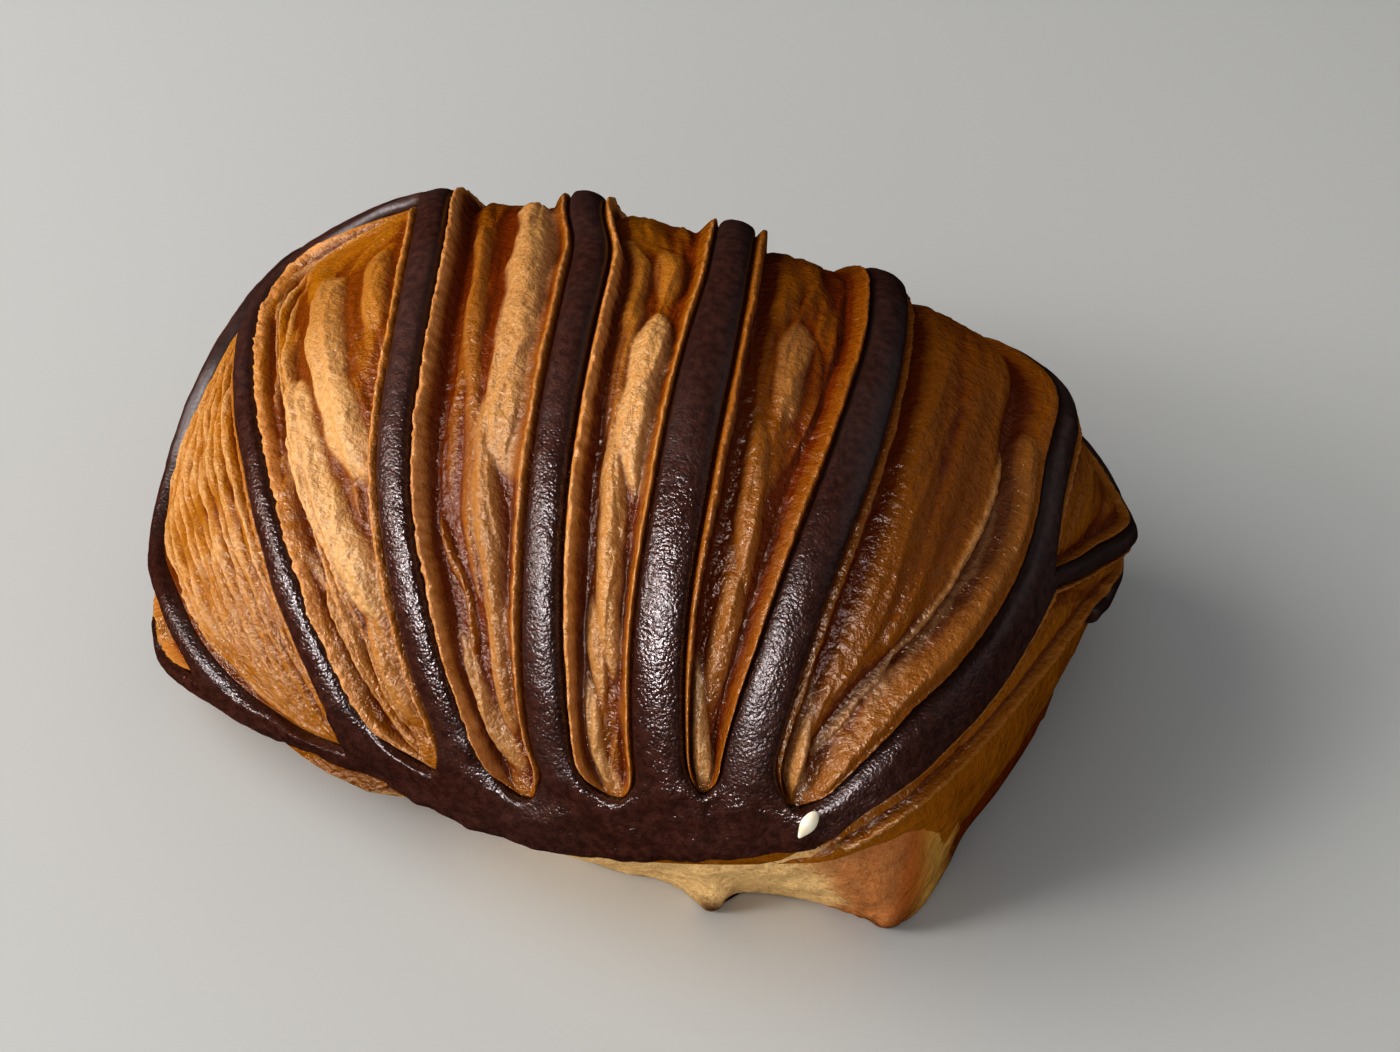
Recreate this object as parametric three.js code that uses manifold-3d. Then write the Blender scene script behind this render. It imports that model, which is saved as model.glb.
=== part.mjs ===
// A pain au chocolat with a two-colour sheet: a golden roll of laminated dough whose thin cocoa sheet
// was cut into slits before rolling. Baking opened the slits, so dark ribs run from a front band,
// over the crest, to a back band, with golden floors between them. Millimetres, +Z up, and the
// origin is in the middle of the base.
import * as THREE from 'three';
import { mergeVertices } from 'three/addons/utils/BufferGeometryUtils.js';
import Module from 'manifold-3d';

// ---- the roll's outer form ----
const CREST_HEIGHT = 54.6;        // table to the top of the ribs
const HALF_LEFT = 59;             // reach of the left end from the middle
const HALF_RIGHT = 54;            // reach of the right end at the crest
const RIGHT_SWING = 11;           // the right end leans back by this much
const EDGE_HALF = 24;             // half length of the straight front and back edges
const HALF_DEPTH = 38.5;          // middle to the front edge
const FRONT_SHIFT = 10;           // the front edge sits to the right
const BACK_SHIFT = -1.8;
const FRONT_BULGE = 4;            // the middle of the front edge bellies forward
const FRONT_EDGE_HEIGHT = 8.8;
const FRONT_EDGE_RISE = 5.0;      // its right end is higher, its left end lower
const BACK_EDGE_HEIGHT = 15;
const END_POWER = 0.5;            // how fast the ends fill out
const SIDE_POWER = 0.94;
const DOME_POWER = 0.91;
const DEPTH_POWER = 0.96;
const UNDER_POWER = 1.7;          // how flat the underside is
const BASE_SINK = 0.8;            // what the table flattens off the underside

// ---- the cocoa sheet and the relief beside it ----
const SHEET = 1.2;                // thickness of the cocoa sheet
const GAP = 0.3;                  // clearance between the sheet and the dough
const RIB_CROWN = 0.25;           // a rib's edges lie this much below its middle
const LIP_DEPTH = 1.7;            // golden lip beside a rib, below the ribs' surface
const LIP_AT = 0.9;               // distance of the lip from the rib
const GROOVE_DEPTH = 4.1;
const GROOVE_AT = 2.4;
const FLOOR_DEPTH = 3.2;
const CLOSED = 0.6;               // width of a slit's seam beyond its ends

// Each rib's course: [degrees from the front edge over the crest to the back edge, degrees from the
// top, left negative], and its half width in mm at the front, the crest and the back.
const RIBS = [
  { course: [[0, -60], [15, -74], [27, -80], [35, -84], [47, -90], [60, -94], [90, -94], [120, -91], [180, -88]], half: [0.8, 1.2, 1.5] },
  { course: [[0, -38], [8, -55], [14, -67], [22, -72], [33, -73], [45, -74], [60, -78], [74, -74], [87, -64], [105, -58], [125, -59], [150, -62], [180, -64]], half: [0.9, 1.5, 1.8] },
  { course: [[0, -24], [7, -28.5], [15, -35], [30, -38.7], [52, -42.7], [76, -48.6], [92, -52], [102, -50], [109, -43], [116, -37], [128, -38], [150, -44], [180, -46]], half: [1.9, 1.8, 2.0] },
  { course: [[0, -13], [10, -14.5], [20, -17], [30, -19], [50, -21.4], [75, -21.5], [95, -23.3], [110, -26.5], [130, -32], [150, -36], [180, -37]], half: [2.3, 2.0, 2.1] },
  { course: [[0, 4], [10, 1], [20, -2], [45, -3.4], [80, -3.6], [97, -4.8], [110, -7.6], [130, -11], [150, -13], [180, -14]], half: [2.4, 2.0, 2.1] },
  { course: [[0, 24], [10, 19.5], [22, 15], [38, 12.2], [60, 11.3], [90, 10], [125, 6.8], [180, 3]], half: [2.9, 2.7, 2.2] },
  { course: [[0, 37], [12, 34], [25, 31], [45, 30.8], [70, 31.1], [90, 30], [110, 27.5], [135, 24], [180, 15]], half: [2.8, 2.5, 2.2] },
  { course: [[0, 47], [12, 47.5], [18, 49.5], [24, 51.6], [36, 56.7], [47, 60], [58, 63], [72, 64.4], [85, 63.4], [99, 59.4], [120, 55], [180, 34]], half: [0.9, 2.0, 2.0] },
  { course: [[0, 48], [60, 60], [82, 66.5], [88, 69.7], [95, 73.7], [102, 77.2], [112, 82.2], [122, 84.5], [145, 80], [180, 58]], half: [0.5, 0.6, 1.4] },
  { course: [[0, 60], [36, 72], [76, 80], [97, 86], [105, 90], [120, 94], [145, 92], [180, 76]], half: [0.5, 0.6, 1.3] },
];
// Each slit between two ribs: the rows where it opens and closes, the rounding of its ends in
// degrees, where the tips lie across it (0 at its left rib, 1 at its right rib) and how deep its
// floor is (1 = full).
const SLITS = [
  { from: 27, to: 148, round: [16, 12], tip: [0.5, 0.5], deep: 0.35 },
  { from: 6.5, to: 148, round: [14, 12], tip: [0.66, 0.5], deep: 0.75 },
  { from: 9, to: 112, round: [13, 16], tip: [0.62, 1.0], deep: 1 },
  { from: 9, to: 157, round: [12, 12], tip: [0.66, 0.5], deep: 1 },
  { from: 12, to: 153, round: [12, 12], tip: [0.66, 0.5], deep: 1 },
  { from: 15, to: 157, round: [12, 12], tip: [0.4, 0.5], deep: 1.05 },
  { from: 15, to: 157, round: [12, 12], tip: [0.7, 0.5], deep: 1 },
  { from: 85, to: 157, round: [12, 12], tip: [0.5, 0.5], deep: 0.1 },
  { from: 0, to: 148, round: [1, 12], tip: [0.5, 0.5], deep: 0.1 },
];
// The front band's lower edge: [degrees from the top, degrees from the front edge].
const BAND_EDGE = [[-180, 2], [-110, 10], [-90, 13], [-72, 12], [-58, 9], [-40, 5], [-28, 3.6],
  [-14, 2], [8, 1.5], [25, 3], [42, 6.8], [54, 12], [64, 14], [90, 13], [110, 10], [180, 2]];
const EDGE_FADE = 30;             // rows come back to straight this many degrees above it
const LAST_RIB_FROM = 97;         // the last rib starts only here
const BARE_SLIT = 8;              // the slit below it has no band at the front
const SHEET_TO = 167;
const FRONT_RING = 0.8;           // the dough's foremost ring, in degrees from the front edge
const ROWS = [2, 4.2, 6.5, 9, 12, 15, 18.5, 22.5, 27, 32, 38, 45, 52, 59, 66, 73, 80, 85, 91, 97, 102,
  107, 112, 118, 124, 130, 136, 140, 144, 148, 153, 157, 162, 167, 172, 176.5];
const UNDER_COLUMNS = 9;
const FRONT_TUCK = 5.5;            // how far the dough draws in below the front band
const FRONT_INWARD = 3;           // and how far its front edge does so at the left

// ---- the sheet's end that lies flat below the roll: a foot, a notch, a corner and a cut edge ----
// Each point: on the table, at the sheet's upper edge, half way up, and where it meets the roll.
const SKIRT = [
  [[2, -31, 0], [2, -32, 2], [2, -36, 5], [3, -39, 10]],
  [[12, -33, 0], [12, -34.3, 2.5], [12.5, -37.5, 6], [13, -40.5, 11]],
  [[19, -34, 0], [19.5, -35.6, 2.5], [20, -37, 6], [20, -40, 13]],
  [[24.3, -35.8, 0], [25, -36.8, 1.5], [25, -37.5, 6], [24, -40, 14]],
  [[27, -32.6, 0], [27.4, -34, 3], [28.5, -36.5, 8], [29, -38.6, 14.5]],
  [[35, -31, 0], [35.5, -32.6, 2.5], [36, -35.5, 9], [35, -37.2, 17]],
  [[40, -31.3, 0], [40.5, -33, 2.5], [40.8, -35.2, 10], [39.5, -34.6, 20.5]],
  [[43.2, -31.6, 0], [43.8, -33.2, 2.8], [45, -32.4, 12], [43.4, -31, 21.5]],
  [[45.8, -28.3, 0], [46.1, -29, 3.2], [47.8, -25, 13.5], [46.4, -23.6, 22.5]],
  [[47.2, -22, 0], [47.2, -22.4, 5], [49.4, -19, 15.5], [48.6, -16.5, 23]],
  [[48, -16, 0], [48, -15.5, 4], [49.6, -13, 13], [50, -11.5, 22]],
  [[50.3, -8, 0], [51, -7.5, 6], [52, -6, 12.5], [51.5, -4, 20]],
  [[52.3, 3, 0], [53.2, 4, 6], [54, 4, 12], [53.5, 4, 19]],
  [[51.5, 13, 0], [52.3, 14, 4], [53, 14, 9], [52.5, 14, 15]],
];
const SKIRT_BACK = [[40, 24], [18, 26], [-2, 16], [-8, -8]];   // the rest of its outline, inside the roll
const SKIRT_STEPS = 2;
const SKIRT_TUCK = 5;             // how far its top runs on into the roll

// ---- the one sesame seed on the front band ----
const SEED_LENGTH = 3.1;
const SEED_WIDTH = 2.0;
const SEED_THICK = 1.0;
const SEED_AT = [15.6, 46];       // degrees from the front edge, degrees from the top
const SEED_LEAN = 0.45;           // radians it leans to the right

const DEG = Math.PI / 180;
const clamp = (v, lo, hi) => Math.min(hi, Math.max(lo, v));
const smooth = (t) => { const u = clamp(t, 0, 1); return u * u * (3 - 2 * u); };
const mix = (a, b, t) => a + (b - a) * t;

// A smooth curve through the stations of a rib's course.
function through(stations, at) {
  const n = stations.length;
  let i = 0;
  while (i < n - 2 && at > stations[i + 1][0]) i += 1;
  const slope = (k) => {
    const a = stations[Math.max(k - 1, 0)];
    const b = stations[Math.min(k + 1, n - 1)];
    return (b[1] - a[1]) / (b[0] - a[0]);
  };
  const [x0, y0] = stations[i];
  const [x1, y1] = stations[i + 1];
  const h = x1 - x0;
  const t = clamp((at - x0) / h, 0, 1);
  const t2 = t * t;
  const t3 = t2 * t;
  return (2 * t3 - 3 * t2 + 1) * y0 + (t3 - 2 * t2 + t) * h * slope(i)
    + (-2 * t3 + 3 * t2) * y1 + (t3 - t2) * h * slope(i + 1);
}

// Local swellings and hollows of the roll: [degrees from the front edge, degrees from the top, the
// two spreads, millimetres outward].
const SWELLINGS = [
  [116, 84, 9, 9, 1.6],
  [140, 68, 14, 14, -1.8],
  [116, 50, 13, 11, 1.3],
  [17, -72, 14, 17, -1.7],
  [4, -44, 8, 18, -1.3],
  [56, -84, 18, 12, 0.9],
  [104, -24, 14, 10, 1.2],
  [100, -4, 12, 8, -0.5],
];
function swelling(phi, theta) {
  return SWELLINGS.reduce((sum, [t, p, dt, dp, out]) => sum
    - out * Math.exp(-(((theta - t) / dt) ** 2) - (((phi - p) / dp) ** 2)), 0);
}

// A point of the roll: theta runs over it from the front edge (0) by the crest (90) to the back edge
// (180), phi turns round it from the top, and depth is measured in from the ribs' outer surface.
function roll(phiDeg, thetaDeg, depth) {
  const phi = phiDeg * DEG;
  const theta = thetaDeg * DEG;
  let turned = phiDeg;
  if (turned > 180) turned -= 360;
  const d = depth + swelling(turned, thetaDeg);
  const s = Math.max(Math.sin(theta), 1e-6);
  const c = Math.cos(theta);
  const sp = Math.sin(phi);
  const cp = Math.cos(phi);
  const side = Math.sign(sp) * Math.abs(sp) ** SIDE_POWER;
  const half = sp < 0 ? HALF_LEFT : HALF_RIGHT - RIGHT_SWING * c;
  const reach = EDGE_HALF + (half - EDGE_HALF) * s ** END_POWER - d;
  const front = ((1 + c) / 2) ** 2;
  const back = ((1 - c) / 2) ** 2;
  const x = reach * side + FRONT_SHIFT * front + BACK_SHIFT * back;
  const y = -(HALF_DEPTH - d) * Math.sign(c) * Math.abs(c) ** DEPTH_POWER
    - FRONT_BULGE * front * front * (1 - side * side);
  const belt = (FRONT_EDGE_HEIGHT + FRONT_EDGE_RISE * side) * (1 + c) / 2 + BACK_EDGE_HEIGHT * (1 - c) / 2;
  let z = belt + (CREST_HEIGHT - d - belt) * cp * s ** DOME_POWER;
  if (cp < 0) {
    z = belt * (1 - Math.abs(cp) * s ** 0.5) ** UNDER_POWER;
    z = Math.max(0, z - BASE_SINK * smooth(-cp * 3));
  }
  return new THREE.Vector3(x, y, z);
}

// Degrees of turn that make one millimetre along the surface.
function turnPerMm(phi, theta) {
  const step = roll(phi + 0.5, theta, 0).distanceTo(roll(phi - 0.5, theta, 0));
  return 1 / Math.max(step, 0.02);
}

// A row is straight over the crest and follows the band's lower edge at the front.
function rowAngle(row, phi) {
  const turned = phi > 180 ? phi - 360 : phi;
  const fade = clamp(1 - (row - ROWS[0]) / EDGE_FADE, 0, 1);
  return row + (through(BAND_EDGE, turned) - ROWS[0]) * fade;
}

// The edges of every rib and slit at one theta, kept in order from the left to the right.
function layout(theta) {
  const centre = RIBS.map((r) => through(r.course, theta));
  const half = RIBS.map((r) => (theta < 70
    ? mix(r.half[0], r.half[1], smooth((theta - 10) / 40))
    : mix(r.half[1], r.half[2], smooth((theta - 75) / 25))));
  const unit = centre.map((c) => turnPerMm(c, theta));
  for (let k = 5; k < RIBS.length; k += 1) {
    const least = centre[k - 1] + (half[k - 1] + half[k] + CLOSED) * unit[k - 1];
    centre[k] = Math.max(centre[k], least);
  }
  for (let k = 3; k >= 0; k -= 1) {
    const most = centre[k + 1] - (half[k + 1] + half[k] + CLOSED) * unit[k + 1];
    centre[k] = Math.min(centre[k], most);
  }
  const edges = SLITS.map((slit, k) => {
    let left = centre[k] + half[k] * unit[k];
    let right = centre[k + 1] - half[k + 1] * unit[k + 1];
    const start = rowAngle(slit.from, (left + right) / 2);
    const front = (theta - start) / slit.round[0];
    const rear = (slit.to - theta) / slit.round[1];
    const t = clamp(Math.min(front, rear), 0, 1);
    const open = Math.sqrt(Math.max(0, 1 - (1 - t) ** 2));
    const tip = left + (right - left) * (front < rear ? slit.tip[0] : slit.tip[1]);
    left = tip + (left - tip) * open;
    right = tip + (right - tip) * open;
    const middle = (left + right) / 2;
    const least = 0.5 * CLOSED * turnPerMm(middle, theta);
    left = Math.min(left, middle - least);
    right = Math.max(right, middle + least);
    return { left, right, open: smooth(1.6 * t) };
  });
  const n = RIBS.length - 1;
  return { edges, first: centre[0] - half[0] * unit[0], last: centre[n] + half[n] * unit[n] };
}

// Finds where a line of the layout crosses a row: pick reads its angle from the top off a layout.
function onRow(row, pick) {
  let theta = row;
  let phi = pick(layout(theta));
  for (let n = 0; n < 4; n += 1) {
    theta = rowAngle(row, phi);
    phi = pick(layout(theta));
  }
  return { theta, phi };
}

// ---- the golden dough ----
// One ring of vertices for each row: lips, grooves and raised middles in the slits, flat tops where
// the cocoa sheet lies, then the underside. At the front two more rings lead on to the edge.
const UNDER = SHEET + GAP;
function doughRing(row, toEdge) {
  const ring = [];
  const add = (at, depth) => {
    const theta = mix(at.theta, FRONT_RING, toEdge);
    const inward = FRONT_INWARD * toEdge * smooth((-4 - at.phi) / 25);
    ring.push(roll(at.phi, theta, depth + inward));
  };
  const first = onRow(row, (l) => l.first);
  const last = onRow(row, (l) => l.last);
  add(first, UNDER);
  SLITS.forEach((slit, k) => {
    const left = onRow(row, (l) => l.edges[k].left);
    const right = onRow(row, (l) => l.edges[k].right);
    const open = 0.5 * (layout(left.theta).edges[k].open + layout(right.theta).edges[k].open);
    const width = right.phi - left.phi;
    const unit = turnPerMm((left.phi + right.phi) / 2, (left.theta + right.theta) / 2);
    const lip = Math.min(LIP_AT * unit / width, 0.15);
    const groove = Math.min(GROOVE_AT * unit / width, 0.32);
    const deep = open * slit.deep;
    const wave = 0.5 * Math.sin(0.21 * row + 1.9 * k);
    const across = (t, depth) => add({ phi: mix(left.phi, right.phi, t), theta: mix(left.theta, right.theta, t) }, depth);
    add(left, UNDER);
    across(lip, mix(UNDER, LIP_DEPTH, open));
    across(groove, mix(UNDER, GROOVE_DEPTH, deep));
    across(0.5, mix(UNDER, FLOOR_DEPTH + wave, deep));
    across(1 - groove, mix(UNDER, GROOVE_DEPTH - 0.4, deep));
    across(1 - lip, mix(UNDER, LIP_DEPTH, open));
    add(right, UNDER);
  });
  add(last, UNDER);
  const span = first.phi + 360 - last.phi;
  for (let i = 1; i <= UNDER_COLUMNS; i += 1) {
    const t = i / (UNDER_COLUMNS + 1);
    const phi = last.phi + span * t;
    const tuck = FRONT_TUCK * smooth((46 - row) / 30) * smooth(t / 0.2) * smooth((1 - t) / 0.12);
    add({ phi, theta: rowAngle(row, phi) }, UNDER + 0.6 + tuck);
  }
  return ring;
}

function closedBody(rings) {
  const points = [];
  const index = [];
  const n = rings[0].length;
  rings.forEach((ring) => ring.forEach((p) => points.push(p.x, p.y, p.z)));
  for (let i = 0; i < rings.length - 1; i += 1) {
    for (let j = 0; j < n; j += 1) {
      const k = (j + 1) % n;
      const a = i * n + j;
      const b = i * n + k;
      const c = (i + 1) * n + k;
      const d = (i + 1) * n + j;
      index.push(a, b, c, a, c, d);
    }
  }
  [0, rings.length - 1].forEach((row, which) => {
    const middle = new THREE.Vector3();
    rings[row].forEach((p) => middle.addScaledVector(p, 1 / n));
    const hub = points.length / 3;
    points.push(middle.x, middle.y, middle.z);
    for (let j = 0; j < n; j += 1) {
      const a = row * n + j;
      const b = row * n + ((j + 1) % n);
      if (which === 0) index.push(hub, b, a);
      else index.push(hub, a, b);
    }
  });
  return facingOut(points, index);
}

// Builds the geometry and turns it inside out if its volume comes out negative.
function facingOut(points, index) {
  let volume = 0;
  const p = (i) => new THREE.Vector3(points[3 * i], points[3 * i + 1], points[3 * i + 2]);
  for (let i = 0; i < index.length; i += 3) {
    volume += p(index[i]).dot(p(index[i + 1]).cross(p(index[i + 2])));
  }
  const faces = index.slice();
  if (volume < 0) {
    for (let i = 0; i < faces.length; i += 3) [faces[i], faces[i + 1]] = [faces[i + 1], faces[i]];
  }
  const geometry = new THREE.BufferGeometry();
  geometry.setAttribute('position', new THREE.Float32BufferAttribute(points, 3));
  geometry.setIndex(faces);
  return geometry;
}

// ---- the sheet's end below the roll ----
// A Catmull-Rom curve through four values.
function blend(a, b, c, d, t) {
  return 0.5 * (2 * b + (c - a) * t + (2 * a - 5 * b + 4 * c - d) * t * t + (3 * b - a - 3 * c + d) * t ** 3);
}

function skirt() {
  const hub = new THREE.Vector3(22, -6, 0);
  const columns = SKIRT.map((column) => {
    const points = column.map((p) => new THREE.Vector3(...p));
    const top = points[3];
    const inward = new THREE.Vector3(hub.x - top.x, hub.y - top.y, 0).setLength(SKIRT_TUCK);
    return [...points, top.clone().add(inward)];
  });
  const between = (list, i, t) => {
    const at = (k) => list[clamp(k, 0, list.length - 1)];
    const value = (key) => blend(at(i - 1)[key], at(i)[key], at(i + 1)[key], at(i + 2)[key], t);
    return new THREE.Vector3(value('x'), value('y'), value('z'));
  };
  const rings = [];
  for (let v = 0; v <= 4; v += 0.5) {
    const low = Math.min(Math.floor(v), 3);
    const level = columns.map((column) => between(column, low, v - low));
    const ring = [];
    for (let i = 0; i < level.length - 1; i += 1) {
      for (let n = 0; n < SKIRT_STEPS; n += 1) ring.push(between(level, i, n / SKIRT_STEPS));
    }
    ring.push(level[level.length - 1]);
    SKIRT_BACK.forEach(([x, y]) => ring.push(new THREE.Vector3(x, y, 3 * v)));
    ring.forEach((p) => { p.z = v === 0 ? 0 : Math.max(p.z, 0.2 * v); });
    rings.push(ring);
  }
  return closedBody(rings);
}

// ---- the cocoa sheet ----
function cocoaSheet() {
  const columns = [];
  RIBS.forEach((rib, k) => {
    columns.push({ rib: k }, { rib: k });
    if (k < SLITS.length) columns.push({ slit: k });
  });
  const present = (column, row) => {
    if (row > SHEET_TO) return false;
    if (column.rib !== undefined) return column.rib < RIBS.length - 1 || row > LAST_RIB_FROM;
    const slit = SLITS[column.slit];
    return row > slit.to || (row < slit.from && column.slit !== BARE_SLIT);
  };
  const grid = ROWS.map((row) => {
    const line = [];
    RIBS.forEach((rib, k) => {
      const left = onRow(row, (l) => (k === 0 ? l.first : l.edges[k - 1].right));
      const right = onRow(row, (l) => (k === RIBS.length - 1 ? l.last : l.edges[k].left));
      const openLeft = k === 0 ? 1 : layout(left.theta).edges[k - 1].open;
      const openRight = k === RIBS.length - 1 ? 1 : layout(right.theta).edges[k].open;
      const middle = { phi: (left.phi + right.phi) / 2, theta: (left.theta + right.theta) / 2 };
      line.push([left, RIB_CROWN * openLeft], [middle, 0], [right, RIB_CROWN * openRight]);
    });
    return line;
  });
  // Columns of vertices: left, middle and right of each rib; a slit's seam lies between two ribs.
  const vertexOf = [];
  RIBS.forEach((rib, k) => {
    vertexOf.push([3 * k, 3 * k + 1], [3 * k + 1, 3 * k + 2]);
    if (k < SLITS.length) vertexOf.push([3 * k + 2, 3 * k + 3]);
  });
  const points = [];
  const index = [];
  const known = new Map();
  const vertex = (i, j, layer) => {
    const key = `${i},${j},${layer}`;
    if (!known.has(key)) {
      const [at, depth] = grid[i][j];
      const p = roll(at.phi, at.theta, layer === 0 ? depth : SHEET);
      known.set(key, points.length / 3);
      points.push(p.x, p.y, p.z);
    }
    return known.get(key);
  };
  const has = (i, c) => i >= 0 && i < ROWS.length - 1 && c >= 0 && c < columns.length
    && present(columns[c], (ROWS[i] + ROWS[i + 1]) / 2);
  for (let i = 0; i < ROWS.length - 1; i += 1) {
    for (let c = 0; c < columns.length; c += 1) {
      if (!has(i, c)) continue;
      const [l, r] = vertexOf[c];
      const quad = (a, b, d, e) => index.push(a, b, d, a, d, e);
      quad(vertex(i, l, 0), vertex(i, r, 0), vertex(i + 1, r, 0), vertex(i + 1, l, 0));
      quad(vertex(i, l, 1), vertex(i + 1, l, 1), vertex(i + 1, r, 1), vertex(i, r, 1));
      if (!has(i, c - 1)) quad(vertex(i, l, 0), vertex(i + 1, l, 0), vertex(i + 1, l, 1), vertex(i, l, 1));
      if (!has(i, c + 1)) quad(vertex(i, r, 0), vertex(i, r, 1), vertex(i + 1, r, 1), vertex(i + 1, r, 0));
      if (!has(i - 1, c)) quad(vertex(i, l, 0), vertex(i, l, 1), vertex(i, r, 1), vertex(i, r, 0));
      if (!has(i + 1, c)) {
        quad(vertex(i + 1, l, 0), vertex(i + 1, r, 0), vertex(i + 1, r, 1), vertex(i + 1, l, 1));
      }
    }
  }
  return facingOut(points, index);
}

// ---- the seed: a flat drop, pointed at its upper end, sunk a little into the sheet ----
function seed() {
  const [theta, phi] = SEED_AT;
  const at = roll(phi, theta, 0);
  const along = roll(phi, theta + 1, 0).sub(at).normalize();
  const across = roll(phi + 1, theta, 0).sub(at);
  across.addScaledVector(along, -across.dot(along)).normalize();
  const up = new THREE.Vector3().crossVectors(across, along).normalize();
  if (up.y > 0 && up.z < 0) up.negate();
  const long = along.clone().multiplyScalar(Math.cos(SEED_LEAN)).addScaledVector(across, Math.sin(SEED_LEAN));
  const wide = new THREE.Vector3().crossVectors(up, long);
  const ball = new THREE.SphereGeometry(0.5, 10, 8);
  ball.deleteAttribute('normal');
  ball.deleteAttribute('uv');
  const round = mergeVertices(ball, 1e-5);
  const position = round.getAttribute('position');
  const p = new THREE.Vector3();
  for (let i = 0; i < position.count; i += 1) {
    p.fromBufferAttribute(position, i);
    const taper = 1 - 0.55 * smooth((p.y + 0.15) / 0.65) ** 1.5;
    const q = at.clone().addScaledVector(long, p.y * SEED_LENGTH)
      .addScaledVector(wide, p.x * SEED_WIDTH * taper)
      .addScaledVector(up, p.z * SEED_THICK * taper + 0.18);
    position.setXYZ(i, q.x, q.y, q.z);
  }
  return facingOut(Array.from(position.array), Array.from(round.index.array));
}

// ---- joins ----
const wasm = await Module();
wasm.setup();

function toSolid(geometry) {
  const g = mergeVertices(geometry, 1e-5);
  return new wasm.Manifold(new wasm.Mesh({
    numProp: 3,
    vertProperties: new Float32Array(g.getAttribute('position').array),
    triVerts: new Uint32Array(g.index.array),
  }));
}

function toGeometry(solid) {
  const mesh = solid.getMesh();
  const geometry = new THREE.BufferGeometry();
  geometry.setAttribute('position', new THREE.Float32BufferAttribute(mesh.vertProperties, 3));
  geometry.setIndex(Array.from(mesh.triVerts));
  return geometry;
}

const rings = [doughRing(ROWS[0], 1), doughRing(ROWS[0], 0.5), ...ROWS.map((row) => doughRing(row, 0))];
const dough = toSolid(closedBody(rings)).add(toSolid(skirt()));
const cocoa = toSolid(cocoaSheet()).add(toSolid(seed()));

const goldenCrust = new THREE.MeshStandardMaterial({ color: 0xb87430, roughness: 0.5, metalness: 0 });
const cocoaCrust = new THREE.MeshStandardMaterial({ color: 0x3b2420, roughness: 0.42, metalness: 0 });

const body = new THREE.Mesh(toGeometry(dough), goldenCrust);
body.name = 'pastry_body';
const ribs = new THREE.Mesh(toGeometry(cocoa), cocoaCrust);
ribs.name = 'cocoa_ribs';

const pain = new THREE.Group();
pain.add(body, ribs);
const box = new THREE.Box3().setFromObject(pain);
pain.position.set(-(box.min.x + box.max.x) / 2, -(box.min.y + box.max.y) / 2, -box.min.z);

export default pain;
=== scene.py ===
# %% [markdown]
# A pain au chocolat whose thin cocoa sheet was slit before rolling. Baking opened the slits, so dark
# ribs cross the golden, flaky dough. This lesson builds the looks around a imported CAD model: meshes
# made from a few measured curves, and materials made of nodes. Lengths in the functions are
# millimetres, as on the baker's bench, and meshes are scaled to Blender's metres at the end.

# %% Load the CAD frame
import math

import bmesh
import bpy
import numpy as np
from mathutils import Matrix, Vector


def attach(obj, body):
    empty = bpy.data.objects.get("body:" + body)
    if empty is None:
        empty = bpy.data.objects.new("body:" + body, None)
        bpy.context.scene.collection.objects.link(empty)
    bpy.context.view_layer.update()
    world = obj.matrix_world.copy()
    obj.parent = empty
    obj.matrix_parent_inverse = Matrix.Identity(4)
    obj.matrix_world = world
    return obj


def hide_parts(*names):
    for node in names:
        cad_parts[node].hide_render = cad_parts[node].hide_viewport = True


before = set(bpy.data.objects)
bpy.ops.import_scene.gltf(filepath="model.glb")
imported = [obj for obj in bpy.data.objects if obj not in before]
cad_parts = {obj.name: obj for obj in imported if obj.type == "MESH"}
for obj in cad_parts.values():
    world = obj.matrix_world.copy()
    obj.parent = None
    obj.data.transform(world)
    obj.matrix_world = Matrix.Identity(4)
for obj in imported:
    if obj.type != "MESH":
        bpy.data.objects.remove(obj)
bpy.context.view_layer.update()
MM = 0.001

# %% [markdown]
# The camera looks down at the pastry from the front, a little from its right. Its three axes are
# built from the azimuth, the elevation and a small roll, because a matrix made from axes says exactly
# where the picture's edges are. A 54 mm lens on a 36 mm sensor gives the mild perspective of a phone.

# %% Camera
AZIMUTH = math.radians(18.1)
ELEVATION = math.radians(43.0)
ROLL = math.radians(1.44)
DISTANCE = 241.0             # mm
SLIDE = (9.8, -5.5)          # mm the camera is moved right and up in its own plane
LENS = 54.0
SENSOR = 36.0
AIM = np.array([0.0, 0.0, 25.0])
PLACE = np.array([-0.143, 2.454, 0.0])    # the roll's own origin in the CAD frame, mm

back = np.array([
    math.sin(AZIMUTH) * math.cos(ELEVATION),
    -math.cos(AZIMUTH) * math.cos(ELEVATION),
    math.sin(ELEVATION),
])
level = np.array([math.cos(AZIMUTH), math.sin(AZIMUTH), 0.0])
upright = np.cross(back, level)
right = math.cos(ROLL) * level + math.sin(ROLL) * upright
up = -math.sin(ROLL) * level + math.cos(ROLL) * upright
eye = AIM + PLACE + DISTANCE * back + SLIDE[0] * right + SLIDE[1] * up

camera = bpy.data.objects.new("camera", bpy.data.cameras.new("camera"))
bpy.context.scene.collection.objects.link(camera)
camera.data.lens = LENS
camera.data.sensor_width = SENSOR
camera.data.clip_start = 0.01
camera.data.clip_end = 10.0
axes = Matrix((right, up, back)).transposed().to_4x4()
camera.matrix_world = Matrix.Translation(Vector(eye * MM)) @ axes
bpy.context.scene.camera = camera
print("camera at, mm:", eye.round(1))

# %% [markdown]
# The floor is a plain pale sheet, large enough that its edge stays out of the way.

# %% Floor
FLOOR_HALF = 1.6             # m
FLOOR_GAP = 0.0002           # m that it lies below the pastry


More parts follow.
